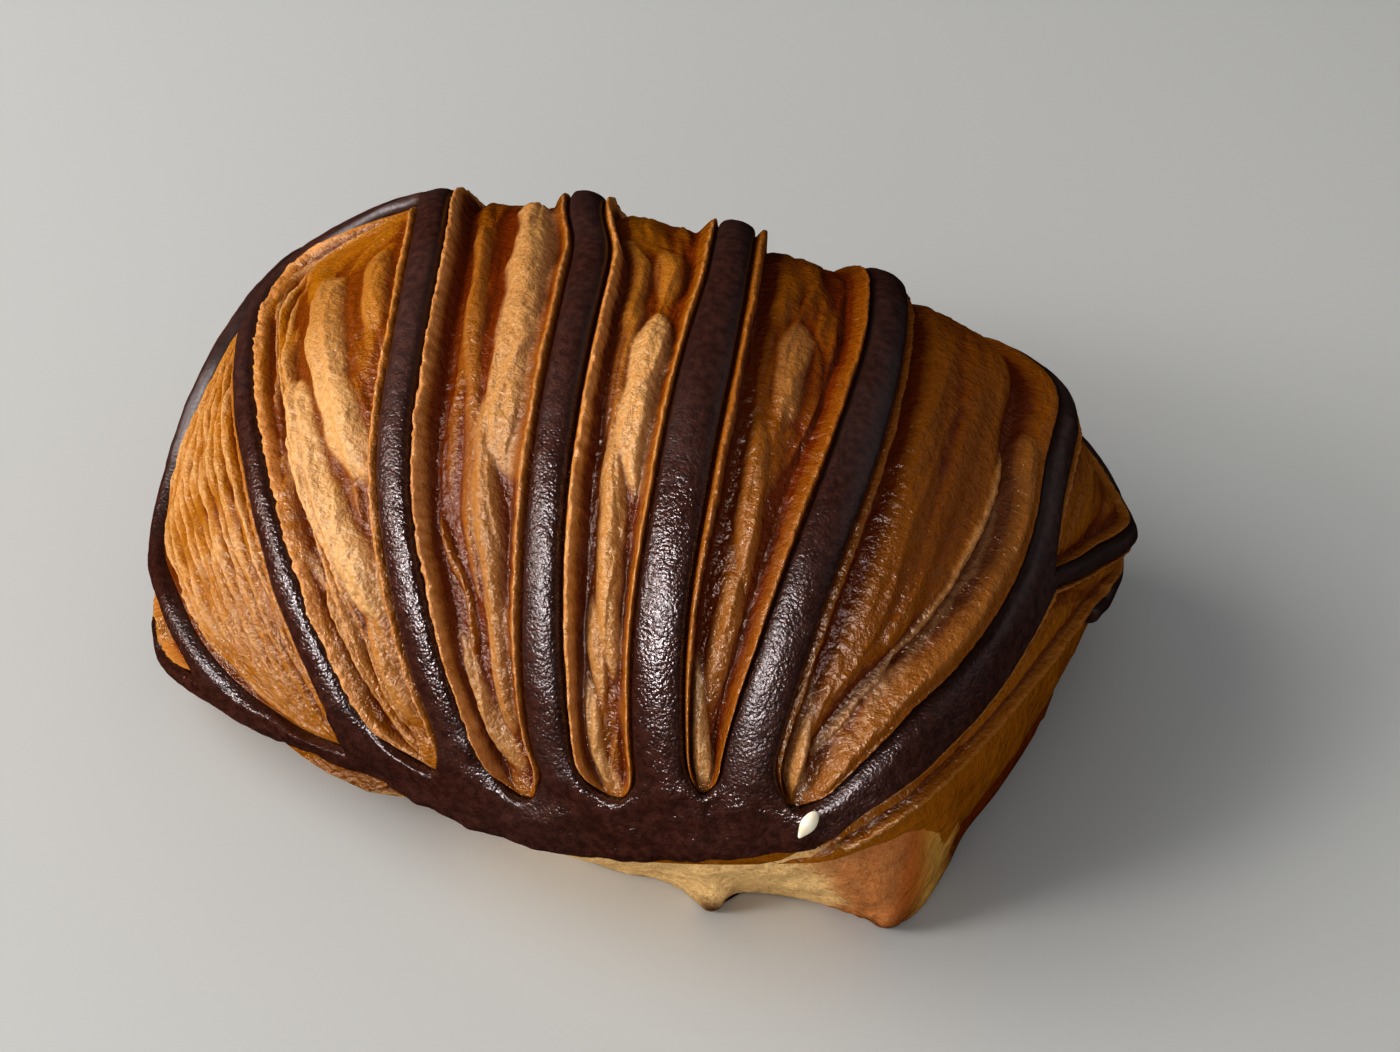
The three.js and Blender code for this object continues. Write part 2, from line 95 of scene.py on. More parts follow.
def plain_material(name, colour, roughness):
    material = bpy.data.materials.new(name)
    material.use_nodes = True
    shader = material.node_tree.nodes["Principled BSDF"]
    shader.inputs["Base Color"].default_value = (*colour, 1.0)
    shader.inputs["Roughness"].default_value = roughness
    return material


floor_mesh = bpy.data.meshes.new("floor")
floor_mesh.from_pydata(
    [(-FLOOR_HALF, -FLOOR_HALF, 0), (FLOOR_HALF, -FLOOR_HALF, 0),
     (FLOOR_HALF, FLOOR_HALF, 0), (-FLOOR_HALF, FLOOR_HALF, 0)],
    [], [(0, 1, 2, 3)],
)
floor = bpy.data.objects.new("floor", floor_mesh)
floor.location.z = -FLOOR_GAP
bpy.context.scene.collection.objects.link(floor)
floor.visible_glossy = False
floor_mesh.materials.append(plain_material("pale_table", (0.50, 0.50, 0.49), 0.6))
print("floor:", 2 * FLOOR_HALF, "m across")

# %% [markdown]
# A window on the left lights the pastry, and two small bright panes give its glaze broken highlights.
# A weak lamp in front opens the shadows, and a pale wall behind lends the ribs' far edges a cool sheen.
# Glossy crust mirrors all that is round it, and the mirrored floor, window and room would lie on the
# brown like a grey veil. So these are hidden from reflections, while the front pane and the wall are
# seen in reflections only.

# %% Lights
LAMPS_AIM = (0.0, 0.0, 0.02)     # m, the point that the lamps face
# Name, direction, distance and size in m, power in W, colour, and the rays that don't see the lamp.
LAMPS = [
    ("window", (-0.80, -0.22, 0.56), 0.90, (1.00, 0.70), 8.8, (1.0, 0.97, 0.93), "glossy"),
    ("bright_pane", (-0.66, -0.55, 0.50), 0.90, (0.20, 0.20), 2.4, (1.0, 0.98, 0.95), None),
    ("front_pane", (-0.10, -0.82, 0.56), 0.85, (0.22, 0.38), 7.4, (0.93, 0.96, 1.0), "diffuse"),
    ("front_fill", (0.15, -0.95, 0.28), 0.90, (0.60, 0.40), 1.3, (1.0, 0.98, 0.95), "glossy"),
    ("far_wall", (0.75, 0.45, 0.48), 0.90, (0.80, 0.60), 0.4, (0.82, 0.90, 1.0), "diffuse"),
]
ROOM_COLOUR = (0.86, 0.88, 0.90, 1.0)
ROOM_STRENGTH = 0.34


def area_light(name, towards, distance, size, power, colour, hidden_from):
    lamp = bpy.data.lights.new(name, "AREA")
    lamp.shape = "RECTANGLE"
    lamp.size, lamp.size_y = size
    lamp.energy = power
    lamp.color = colour
    holder = bpy.data.objects.new(name, lamp)
    direction = Vector(towards).normalized()
    holder.location = direction * distance + Vector(LAMPS_AIM)
    holder.rotation_mode = "QUATERNION"
    holder.rotation_quaternion = direction.to_track_quat("Z", "Y")
    bpy.context.scene.collection.objects.link(holder)
    if hidden_from == "glossy":
        holder.visible_glossy = False
    if hidden_from == "diffuse":
        holder.visible_diffuse = False


for lamp_settings in LAMPS:
    area_light(*lamp_settings)
world = bpy.data.worlds.new("room")
world.use_nodes = True
world.node_tree.nodes["Background"].inputs["Color"].default_value = ROOM_COLOUR
world.node_tree.nodes["Background"].inputs["Strength"].default_value = ROOM_STRENGTH
bpy.context.scene.world = world
world.cycles_visibility.glossy = False
bpy.context.scene.view_settings.view_transform = "Standard"
bpy.context.scene.view_settings.look = "Medium High Contrast"

# %% [markdown]
# The roll is a bent, flattened sausage. Theta runs over it from its front edge (0 degrees) by the
# crest (90) to its back edge (180), and phi turns round it from the top, left negative. A function
# from these two angles to a point is handier than a sculpted mesh here, because ribs, slits and flakes
# can all be drawn in the angles and stay on the form.

# %% The roll's form
CREST_HEIGHT = 54.6
HALF_LEFT = 59.0             # half lengths at the crest
HALF_RIGHT = 54.0
RIGHT_SWING = 11.0           # how much shorter the right end is in front, and longer at the back
EDGE_HALF = 24.0             # half length of the front and back edges
HALF_DEPTH = 38.5
FRONT_SHIFT = 10.0           # how far the edges lie to the right
BACK_SHIFT = -1.8
FRONT_BULGE = 4.0
FRONT_EDGE_HEIGHT = 8.8
FRONT_EDGE_RISE = 5.0
BACK_EDGE_HEIGHT = 15.0
# Powers below 1 make a curve fuller than a circle, and powers above 1 make it leaner.
END_POWER = 0.5
SIDE_POWER = 0.94
DOME_POWER = 0.91
DEPTH_POWER = 0.96
UNDER_POWER = 1.7
BASE_SINK = 0.8              # mm that the underside is pressed flat
# Swellings and hollows: theta, phi, their two spreads, millimetres outward.
SWELLINGS = [
    (116, 84, 9, 9, 1.6), (140, 68, 14, 14, -1.8), (116, 50, 13, 11, 1.3), (17, -72, 14, 17, -1.7),
    (4, -44, 8, 18, -1.3), (56, -84, 18, 12, 0.9), (104, -24, 14, 10, 1.2), (100, -4, 12, 8, -0.5),
]


def smooth(t):
    t = np.clip(t, 0.0, 1.0)
    return t * t * (3 - 2 * t)


def mix(a, b, t):
    return a + (b - a) * t


def roll(phi, theta, depth):
    """Points of the roll, in mm, depth millimetres in from the ribs' outer surface."""
    turned = np.where(phi > 180, phi - 360, phi)
    inward = np.array(depth, dtype=float)
    for t, p, dt, dp, out in SWELLINGS:
        inward = inward - out * np.exp(-(((theta - t) / dt) ** 2) - ((turned - p) / dp) ** 2)
    s = np.maximum(np.sin(np.radians(theta)), 1e-6)
    c = np.cos(np.radians(theta))
    sin_phi = np.sin(np.radians(phi))
    cos_phi = np.cos(np.radians(phi))
    side = np.sign(sin_phi) * np.abs(sin_phi) ** SIDE_POWER
    half = np.where(sin_phi < 0, HALF_LEFT, HALF_RIGHT - RIGHT_SWING * c)
    reach = EDGE_HALF + (half - EDGE_HALF) * s ** END_POWER - inward
    front = ((1 + c) / 2) ** 2
    rear = ((1 - c) / 2) ** 2
    x = reach * side + FRONT_SHIFT * front + BACK_SHIFT * rear
    y = -(HALF_DEPTH - inward) * np.sign(c) * np.abs(c) ** DEPTH_POWER
    y = y - FRONT_BULGE * front * front * (1 - side * side)
    belt = (FRONT_EDGE_HEIGHT + FRONT_EDGE_RISE * side) * (1 + c) / 2 + BACK_EDGE_HEIGHT * (1 - c) / 2
    above = belt + (CREST_HEIGHT - inward - belt) * cos_phi * s ** DOME_POWER
    flat = np.clip(1 - np.abs(cos_phi) * s ** 0.5, 0, 1)
    below = np.maximum(0, belt * flat ** UNDER_POWER - BASE_SINK * smooth(-3 * cos_phi))
    return np.stack([x, y, np.where(cos_phi < 0, below, above)], axis=-1)


print("crest, mm:", roll(np.array(0.0), np.array(90.0), 0.0).round(1))

# %% [markdown]
# Each rib of the cocoa sheet follows a course over the roll, a smooth curve through a few stations. A
# slit is what lies between two ribs, from the row where it opens to the row where it closes, with a
# rounded end. Everything else is measured from these edges.

# %% Ribs and slits
# A course's stations are (theta, phi); half widths are mm at the front, the crest and the back.
RIBS = [
    ([(0, -60), (15, -74), (27, -80), (35, -84), (47, -90), (60, -94), (90, -94), (120, -91),
      (180, -88)], (0.8, 1.2, 1.5)),
    ([(0, -38), (8, -55), (14, -67), (22, -72), (33, -73), (45, -74), (60, -78), (74, -74), (87, -64),
      (105, -58), (125, -59), (150, -62), (180, -64)], (0.9, 1.5, 1.8)),
    ([(0, -24), (7, -28.5), (15, -35), (30, -38.7), (52, -42.7), (76, -48.6), (92, -52), (102, -50),
      (109, -43), (116, -37), (128, -38), (150, -44), (180, -46)], (1.9, 1.8, 2.0)),
    ([(0, -13), (10, -14.5), (20, -17), (30, -19), (50, -21.4), (75, -21.5), (95, -23.3),
      (110, -26.5), (130, -32), (150, -36), (180, -37)], (2.3, 2.0, 2.1)),
    ([(0, 4), (10, 1), (20, -2), (45, -3.4), (80, -3.6), (97, -4.8), (110, -7.6), (130, -11),
      (150, -13), (180, -14)], (2.4, 2.0, 2.1)),
    ([(0, 24), (10, 19.5), (22, 15), (38, 12.2), (60, 11.3), (90, 10), (125, 6.8), (180, 3)],
     (2.9, 2.7, 2.2)),
    ([(0, 37), (12, 34), (25, 31), (45, 30.8), (70, 31.1), (90, 30), (110, 27.5), (135, 24),
      (180, 15)], (2.8, 2.5, 2.2)),
    ([(0, 47), (12, 47.5), (18, 49.5), (24, 51.6), (36, 56.7), (47, 60), (58, 63), (72, 64.4),
      (85, 63.4), (99, 59.4), (120, 55), (180, 34)], (0.9, 2.0, 2.0)),
    ([(0, 48), (60, 60), (82, 66.5), (88, 69.7), (95, 73.7), (102, 77.2), (112, 82.2), (122, 84.5),
      (145, 80), (180, 58)], (0.5, 0.6, 1.4)),
    ([(0, 60), (36, 72), (76, 80), (97, 86), (105, 90), (120, 94), (145, 92), (180, 76)],
     (0.5, 0.6, 1.3)),
]
# A slit: rows where it opens and closes, rounding of its ends in degrees, and where the tips lie
# across it (0 at its left rib, 1 at its right rib).
SLITS = [
    (27, 148, (16, 12), (0.5, 0.5)),
    (6.5, 148, (11, 12), (0.60, 0.5)),
    (9, 112, (8, 16), (0.58, 1.0)),
    (9, 157, (7, 12), (0.58, 0.5)),
    (12, 153, (6, 12), (0.56, 0.5)),
    (15, 157, (6, 12), (0.46, 0.5)),
    (15, 157, (8, 12), (0.62, 0.5)),
    (85, 157, (12, 12), (0.5, 0.5)),
    (0, 148, (1, 12), (0.5, 0.5)),
]
# The front band's lower edge as (phi, theta).
BAND_EDGE = [
    (-180, 2), (-110, 10), (-90, 13), (-72, 12), (-58, 9), (-40, 5), (-28, 3.6), (-14, 2), (8, 1.5),
    (25, 3), (42, 6.8), (54, 12), (64, 14), (90, 13), (110, 10), (180, 2),
]
FIRST_ROW = 2.0
SHEET_TO = 167.0             # degrees where the sheet's back band ends
LAST_RIB_FROM = 97.0         # degrees where the last rib starts
BARE_SLIT = 8                # the slit with no band in front of it
print("slits:", len(SLITS), "ribs:", len(RIBS))

# %% [markdown]
# Rows and thetas differ in front, because the front band's edge isn't level: row 2 follows that edge,
# and rows further up come level again. A layout gives every slit's left and right edge at a theta, and
# ribs that would overlap push each other apart.

# %% Edges of the slits
EDGE_FADE = 30.0             # rows over which they come level
CLOSED = 0.25                # mm left of a slit beyond its ends
RIB_GAP = 0.6                # mm that two ribs stay apart
MIDDLE_RIB = 4               # it stays, and the others make way


def through(stations, at):
    """A smooth curve through the stations, read at the angles given."""
    x, y = np.array(stations, dtype=float).T
    slope = np.gradient(y)
    slope[1:-1] = (y[2:] - y[:-2]) / (x[2:] - x[:-2])
    slope[0] = (y[1] - y[0]) / (x[1] - x[0])
    slope[-1] = (y[-1] - y[-2]) / (x[-1] - x[-2])
    i = np.clip(np.searchsorted(x, at) - 1, 0, len(x) - 2)
    h = x[i + 1] - x[i]
    t = np.clip((at - x[i]) / h, 0, 1)
    return ((2 * t**3 - 3 * t**2 + 1) * y[i] + (t**3 - 2 * t**2 + t) * h * slope[i]
            + (3 * t**2 - 2 * t**3) * y[i + 1] + (t**3 - t**2) * h * slope[i + 1])


def turn_per_mm(phi, theta):
    """Degrees of phi to a millimetre across."""
    step = np.linalg.norm(roll(phi + 0.5, theta, 0.0) - roll(phi - 0.5, theta, 0.0), axis=-1)
    return 1 / np.maximum(step, 0.02)


def row_angle(row, phi):
    """Theta of a row at a phi."""
    turned = np.where(phi > 180, phi - 360, phi)
    fade = np.clip(1 - (row - FIRST_ROW) / EDGE_FADE, 0, 1)
    return row + (through(BAND_EDGE, turned) - FIRST_ROW) * fade


def layout(theta):
    """The left and right edge and the openness of every slit at the thetas given."""
    centre = [through(course, theta) for course, _ in RIBS]
    front_to_crest = smooth((theta - 10) / 40)
    crest_to_back = smooth((theta - 75) / 25)
    half = [np.where(theta < 70, mix(h[0], h[1], front_to_crest), mix(h[1], h[2], crest_to_back))
            for _, h in RIBS]
    unit = [turn_per_mm(c, theta) for c in centre]
    for k in range(MIDDLE_RIB + 1, len(RIBS)):
        least = centre[k - 1] + (half[k - 1] + half[k] + RIB_GAP) * unit[k - 1]
        centre[k] = np.maximum(centre[k], least)
    for k in range(MIDDLE_RIB - 1, -1, -1):
        most = centre[k + 1] - (half[k + 1] + half[k] + RIB_GAP) * unit[k + 1]
        centre[k] = np.minimum(centre[k], most)
    edges = []
    for k, (start_row, end_row, rounding, tips) in enumerate(SLITS):
        left = centre[k] + half[k] * unit[k]
        right_edge = centre[k + 1] - half[k + 1] * unit[k + 1]
        front = (theta - row_angle(start_row, (left + right_edge) / 2)) / rounding[0]
        rear = (end_row - theta) / rounding[1]
        t = np.clip(np.minimum(front, rear), 0, 1)
        opening = np.sqrt(np.maximum(0, 1 - (1 - t) ** 2))
        tip = left + (right_edge - left) * np.where(front < rear, tips[0], tips[1])
        left = tip + (left - tip) * opening
        right_edge = tip + (right_edge - tip) * opening
        middle = (left + right_edge) / 2
        least = 0.5 * CLOSED * turn_per_mm(middle, theta)
        edges.append((np.minimum(left, middle - least), np.maximum(right_edge, middle + least),
                      smooth(1.6 * t)))
    return edges, centre[0] - half[0] * unit[0], centre[-1] + half[-1] * unit[-1]


def on_row(row, pick):
    """Theta and phi where a line of the layout crosses the rows."""
    theta = row.copy()
    phi = pick(layout(theta))
    for _ in range(5):
        theta = row_angle(row, phi)
        phi = pick(layout(theta))
    return theta, phi


slit_left, slit_right, _ = layout(np.array([60.0]))[0][3]
print("slit 3 at theta 60, phi:", slit_left.round(1), "to", slit_right.round(1))

# %% [markdown]
# Baked dough is uneven at every size, so the meshes need noise. Gradient noise on a seeded lattice is
# short to write with numpy and is the same on every run. Stretched along a slit, it gives the long
# wrinkles of laminated dough.

# %% Noise
shuffle = np.random.RandomState(7).permutation(256)
directions = np.random.RandomState(11).normal(size=(256, 3))
directions /= np.linalg.norm(directions, axis=1)[:, None]


def noise(x, y, z):
    """Smooth gradient noise, about -1 to 1."""
    p = np.stack(np.broadcast_arrays(x, y, z), axis=-1).astype(float)
    cell = np.floor(p).astype(int)
    f = p - cell
    w = f * f * f * (f * (f * 6 - 15) + 10)
    total = 0.0
    for dx in (0, 1):
        for dy in (0, 1):
            for dz in (0, 1):
                key = shuffle[(cell[..., 0] + dx) & 255]
                key = shuffle[(key + cell[..., 1] + dy) & 255]
                key = shuffle[(key + cell[..., 2] + dz) & 255]
                away = f - np.array([dx, dy, dz])
                corner = (directions[key] * away).sum(axis=-1)
                weight = np.where(dx, w[..., 0], 1 - w[..., 0])
                weight = weight * np.where(dy, w[..., 1], 1 - w[..., 1])
                weight = weight * np.where(dz, w[..., 2], 1 - w[..., 2])
                total = total + corner * weight
    return 1.6 * total


print("noise sample:", round(float(noise(0.3, 1.7, 2.2)), 3))

# %% [markdown]
# In a slit the layers have torn apart. A little off each rib stands a thin golden lip, the torn edge
# of the top layer, and its red flank falls into a groove. The floor between swells into long folds
# where steam lifted it, or shows its layers edge-on. The relief is a depth in millimetres for every
# vertex, built up from the large forms to the small. Sculpting could look as good, but it could not be
# made again from its numbers.

# %% What each slit looks like
UNDER_SHEET = 1.45           # depth of the dough below the ribs' surface, mm
MM_PER_DEGREE = 0.72         # along a slit, about
ALL_ACROSS = 40              # a reach of layers that fills any slit, mm

# For every slit, in mm: on the left the depths of the lip and of the groove, the groove's distance
# from the rib, and the distance over which it rises to the floor; the same on the right; depth of the
# floor; height of the wrinkles; how far thin parallel layers reach from the left rib and from the right
# rib, their spacing and height; and, from 0 to 1, how dark the slit is baked, how red its torn
# flank is and how pale its lip.
FLOORS = [
    dict(left=(0.6, 1.9, 1.6, 2.8), right=(0.6, 1.7, 1.6, 2.8), floor=1.7, wrinkle=0.1,
         layers=(3, 3), pitch=1.0, rise=0.3, bake=0.4, red=0.3, lip=0.5),
    dict(left=(2.6, 3.4, 1.2, 1.4), right=(0.9, 2.0, 1.3, 1.5), floor=1.5, wrinkle=0.2,
         layers=(ALL_ACROSS, ALL_ACROSS), pitch=2.1, rise=1.3, bake=0.30, red=0.1, lip=0.3),
    dict(left=(0.4, 2.6, 2.6, 2.4), right=(0.6, 2.3, 2.2, 2.0), floor=2.0, wrinkle=0.5,
         layers=(6.0, 0), pitch=1.6, rise=1.2, bake=0.30, red=0.4, lip=1.0),
    dict(left=(0.25, 2.9, 2.1, 2.4), right=(0.5, 2.5, 2.4, 1.0), floor=2.3, wrinkle=0.45,
         layers=(1.5, 0), pitch=1.2, rise=0.4, bake=0.72, red=0.9, lip=0.9),
    dict(left=(0.25, 2.9, 2.1, 2.4), right=(0.5, 2.5, 2.4, 1.0), floor=2.3, wrinkle=0.45,
         layers=(1.5, 0), pitch=1.2, rise=0.4, bake=0.48, red=0.9, lip=0.85),
    dict(left=(0.3, 2.9, 1.8, 2.4), right=(0.5, 2.5, 2.4, 1.0), floor=2.2, wrinkle=0.45,
         layers=(1.5, 0), pitch=1.2, rise=0.4, bake=0.75, red=1.0, lip=0.2),
    dict(left=(1.2, 3.0, 1.6, 3.0), right=(0.5, 3.0, 5.0, 3.0), floor=1.5, wrinkle=0.3,
         layers=(0, 0), pitch=1.4, rise=0.5, bake=0.78, red=1.0, lip=0.05),
    dict(left=(0.5, 2.2, 1.6, 2.8), right=(0.5, 2.0, 1.4, 2.8), floor=1.5, wrinkle=0.4,
         layers=(0, 0), pitch=1.2, rise=0.2, bake=0.6, red=0.6, lip=0.3),
    dict(left=(0.5, 2.0, 1.4, 2.8), right=(0.5, 2.0, 1.4, 2.8), floor=1.6, wrinkle=0.4,
         layers=(0, 0), pitch=1.2, rise=0.2, bake=0.3, red=0.3, lip=0.4),
]
print("slit styles:", len(FLOORS))

# %% Folds on the floors
# Slit, course as (theta, place across: 0 left, 1 right), half width and height in mm, and how pale
# the crest is (0 to 1), partly as dust and partly as painted light.
FOLDS = [
    (2, [(82, 0.29), (62, 0.24)], 1.1, 0.7, 0.2),
    (2, [(92, 0.52), (72, 0.55), (61, 0.66), (50, 0.82)], 2.9, 1.4, 1.0),
    (2, [(70, 0.33), (54, 0.37), (46, 0.47), (39, 0.64), (30, 0.72)], 3.0, 1.6, 1.0),
    (2, [(96, 0.78), (76, 0.85)], 2.2, 1.1, 0.4),
    (2, [(39, 0.32), (29, 0.28), (19, 0.24)], 1.7, 1.0, 0.5),
    (2, [(34, 0.72), (16, 0.60)], 2.3, 0.9, 0.3),
    (2, [(100, 0.30), (84, 0.42)], 2.4, 0.7, 0.0),
    (3, [(116, 0.78), (86, 0.70), (70, 0.73), (60, 0.77), (52, 0.87)], 3.1, 1.7, 0.65),
    (3, [(102, 0.26), (75, 0.36), (58, 0.48), (45, 0.50), (35, 0.48)], 1.3, 0.7, 0.1),
    (3, [(66, 0.56), (55, 0.62), (45, 0.66), (32, 0.69), (17, 0.66)], 1.8, 1.1, 0.4),
    (3, [(50, 0.14), (40, 0.29), (34, 0.38), (24, 0.30)], 0.7, 0.9, 0.0),
    (3, [(34, 0.08), (22, 0.26), (11, 0.60)], 2.2, 1.2, 0.6),
    (4, [(87, 0.59), (70, 0.64), (62, 0.65), (54, 0.80)], 2.3, 1.5, 0.75),
    (4, [(66, 0.42), (49, 0.49), (39, 0.58), (28, 0.66)], 1.7, 0.9, 0.5),
    (4, [(108, 0.20), (79, 0.24), (60, 0.36)], 2.0, 1.0, 0.1),
    (4, [(40, 0.30), (25, 0.50)], 1.2, 0.7, 0.5),
    (4, [(106, 0.62), (88, 0.60)], 2.4, 0.8, 0.1),
    (4, [(29, 0.80), (21, 0.92)], 1.3, 0.9, 0.2),
    (4, [(30, 0.10), (18, 0.26), (9, 0.60)], 2.2, 1.2, 0.8),
    (5, [(96, 0.49), (84, 0.48), (74, 0.54)], 1.8, 0.6, 0.3),
    (5, [(74, 0.33), (59, 0.45), (47, 0.60)], 1.5, 0.8, 0.10),
    (5, [(50, 0.48), (38, 0.53), (28, 0.62)], 1.5, 0.8, 0.15),
    (5, [(112, 0.36), (92, 0.30)], 2.2, 0.8, 0.0),
    (5, [(38, 0.05), (25, 0.18), (14, 0.50)], 2.0, 1.1, 0.8),
    (6, [(44, 0.03), (30, 0.14), (18, 0.50)], 2.0, 1.2, 0.6),
    (6, [(96, 0.68), (70, 0.66), (46, 0.64), (26, 0.56)], 0.7, 0.7, 0.5),
    (6, [(104, 0.86), (70, 0.86), (40, 0.85), (20, 0.80)], 2.4, 1.3, 0.15),
    (6, [(90, 0.76), (62, 0.75), (36, 0.71)], 0.5, 0.7, 0.4),
]
print("folds:", len(FOLDS))

# %% [markdown]
# Across a slit the depth is one profile seen from the left rib and one seen from the right, blended
# where they meet. Noise makes the torn edges ragged and the grooves uneven. The last number given to
# noise only picks another slice of it, so that two patterns are not alike.

# %% Across a slit: lip, groove and floor
LIP_AT = 0.70                # mm from the rib to the lip's crest
LIP_WIDE = (0.25, 0.10)      # mm that the crest stays level, beside the left rib and beside the right
FULL_HALF = 5.6              # half width of a slit that has room for the whole profile, mm
RAGGED = 0.16                # mm that a torn edge strays
UNEVEN = 0.22                # share by which a groove's width varies
MEET_FROM = 0.4              # share of the way across where the right profile begins to count
MEET_OVER = 0.2


def rising(value, start, over):
    """0 up to the start, and 1 once the value is that much past it."""
    return smooth((value - start) / over)


def falling(value, end, over):
    """0 from the end on, and 1 where the value is that much before it."""
    return smooth((end - value) / over)


def side_profile(distance, wide, floor, lip, groove, groove_at, rise_over):
    """Depth at a distance from the rib: the lip, the groove beside it, and the rise to the floor."""
    depth = mix(UNDER_SHEET, lip, smooth(distance / LIP_AT))
    fall = np.clip((distance - LIP_AT - wide) / (groove_at - LIP_AT - wide), 0, 1)
    depth = depth + (groove - lip) * mix(smooth(fall), fall, 0.4)
    return depth - (groove - floor) * rising(distance, groove_at, rise_over)


def from_ribs(k, t, width, along):
    """Distance from the left rib and from the right rib, mm, as if the slit had its full width."""
    fit = np.maximum(1.0, FULL_HALF / np.maximum(width / 2, 0.05))
    side = np.where(t < 0.5, 1.2, 5.7)
    ragged = RAGGED * noise(along / 5.0, k + 0.3, side) + RAGGED * noise(along / 0.9, k, side)
    from_left = np.maximum(t * width * fit + ragged * smooth(t * width), 0)
    from_right = np.maximum((1 - t) * width * fit + ragged * smooth((1 - t) * width), 0)
    return from_left, from_right


def cross_section(style, from_left, from_right, uneven):
    """Depth across a slit before anything lies on its floor."""
    left_at = style["left"][2]
    right_at = style["right"][2]
    stretched = from_left * mix(1.0, uneven, smooth(from_left / 2))
    beside_left = side_profile(stretched, LIP_WIDE[0], style["floor"], *style["left"])
    beside_right = side_profile(from_right, LIP_WIDE[1], style["floor"], *style["right"])
    share = from_left * right_at / np.maximum(from_left * right_at + from_right * left_at, 1e-6)
    return mix(beside_left, beside_right, rising(share, MEET_FROM, MEET_OVER))


lip_depth = side_profile(LIP_AT, LIP_WIDE[0], FLOORS[3]["floor"], *FLOORS[3]["left"])
print("lip of slit 3 above the dough under the ribs, mm:", round(UNDER_SHEET - float(lip_depth), 2))

# %% [markdown]
# Three kinds of relief lie on a floor. Folds are long swellings that follow a course of their own,
# wrinkles are noise stretched along the slit, and layers are thin ridges side by side, like the edge
# of a stack of paper.

# %% Folds, wrinkles and layers
FOLD_END = 9.0               # degrees over which a fold rises and dies away
LAYERED_WIDTH = 25.0         # mm that a slit layered from side to side is taken to be wide
FLAT_BELOW = 20.0            # mm of width below which the layers of such a slit flatten


def line(value, width):
    """1 where the value is 0, falling to 0 a width away: a thin meandering line in a noise field."""
    return np.clip(1 - np.abs(value) / width, 0, 1)


def folds_of(k, t, width, theta, along, sway):
    """Height of the folds in a slit, and how pale their crests are, partly dust and partly painted light.
    """
    height = np.zeros_like(along)
    dust_and_light = np.zeros_like(along)
    for n, (slit, course, half_width, rise, pale_share) in enumerate(FOLDS):
        if slit == k:
            first, last = sorted((course[0][0], course[-1][0]))
            centre = through(sorted(course), np.clip(theta, first, last))
            bulge = 1 + 0.22 * noise(along / 6.0, 1.7 * n, 8.8)
            stray = 0.4 * sway + 0.35 * noise(t * width / 2.4, along / 4.5, 2.8 + n)
            v = ((t - centre) * width + stray) / (half_width * bulge)
            past = np.maximum(first + FOLD_END - theta, theta - last + FOLD_END) / FOLD_END
            one = np.clip(1 - v ** 2 - np.maximum(past, 0) ** 2, 0, 1)
            height = np.maximum(height, rise * one * bulge)
            dust_and_light = np.maximum(dust_and_light, pale_share * smooth(2.0 * one))
    return height, dust_and_light


def wrinkles_of(k, across, along, sway):
    """Soft waves with a few sharp ridges and creases, about -1 to 1."""
    creases = line(noise((across + 1.2 * sway) / 3.6, along / 22, 9.2 + k), 0.08)
    ridge = line(noise((across + sway - 0.1 * along) / 3.2, along / 20, 1.4 + k), 0.20)
    soft = noise(across / 2.8, along / 24, 5.1 + k) + 0.35 * noise(across / 1.3, along / 9, 2.9 + k)
    return 0.4 * ridge + 1.0 * soft - 0.4 * creases


def layers_in(across, along, sway, pitch):
    """Thin layers seen edge-on: rounded ridges of uneven width with sharp valleys, -0.6 to 0.4."""
    wander = across + 0.7 * sway + 0.7 * noise(across / 3.4, along / 14, 7.7)
    wander = wander + 0.16 * noise(across, along / 2.4, 4.1)
    wave = np.abs(np.sin(math.pi * wander / pitch)) ** 1.1 - 0.55
    return wave * (0.85 + 0.7 * noise(across / 2, along / 7, 2.2))


def layers_of(style, t, width, along, sway, from_left, from_right):
    """The layers' wave in a slit, and how strong they are, 0 to 1."""
    reach_left, reach_right = style["layers"]
    strong = np.maximum(falling(from_left, reach_left + 1, 2), falling(from_right, reach_right + 1, 2))
    beside = t * width
    if reach_left == ALL_ACROSS:
        beside = t * LAYERED_WIDTH
        strong = strong * np.clip(width / FLAT_BELOW, 0.2, 1.0)
    wave = layers_in(beside, along, sway, style["pitch"]) + 0.3 * layers_in(beside + 5, along, sway, 0.8)
    return wave, strong


print("layers fill slits:", [k for k, style in enumerate(FLOORS) if style["layers"][0] == ALL_ACROSS])

# %% [markdown]
# Colour follows the same distances as the relief, so both are worked out together: lips are pale,
# torn flanks are red, partly as their own colour and partly as painted shade, the gaps between layers
# and a line beside each rib are red as painted shade, and crests are pale, partly as dust and partly
# as painted light. The masks go to the material with the mesh, which keeps the colours on the forms
# that they belong to.

# %% Lips and torn flanks
LIP_FROM = 0.35              # mm from the rib where the pale lip starts
LIP_TO = (1.60, 1.15)        # mm from the rib where it ends, on the left and on the right
RIGHT_LIP = 0.7              # strength of the right lips, where the left ones have 1
FLANK_FROM = (1.35, 0.7)     # mm from the rib where the red flank starts, left and right
FLANK_PAST = (1.0, 0.6)      # mm that it runs on past the groove
RIGHT_FLANK = 0.6
SOFT_FROM = 6                # from this slit on, nothing is torn on the right
DEEPEST_LIP = 2.0            # mm; a side whose lip lies deeper than this shows none


def lip_of(style, from_left, from_right, across, along):
    left_lip = rising(from_left, LIP_FROM, 0.3) * falling(from_left, LIP_TO[0], 0.4)
    left_lip = left_lip * (style["left"][0] < DEEPEST_LIP)
    right_lip = RIGHT_LIP * rising(from_right, LIP_FROM, 0.3) * falling(from_right, LIP_TO[1], 0.4)
    crumbs = np.clip(0.75 + 0.6 * noise(across / 0.6, along / 0.6, 5.5), 0, 1)
    return np.maximum(left_lip, right_lip) * style["lip"] * crumbs


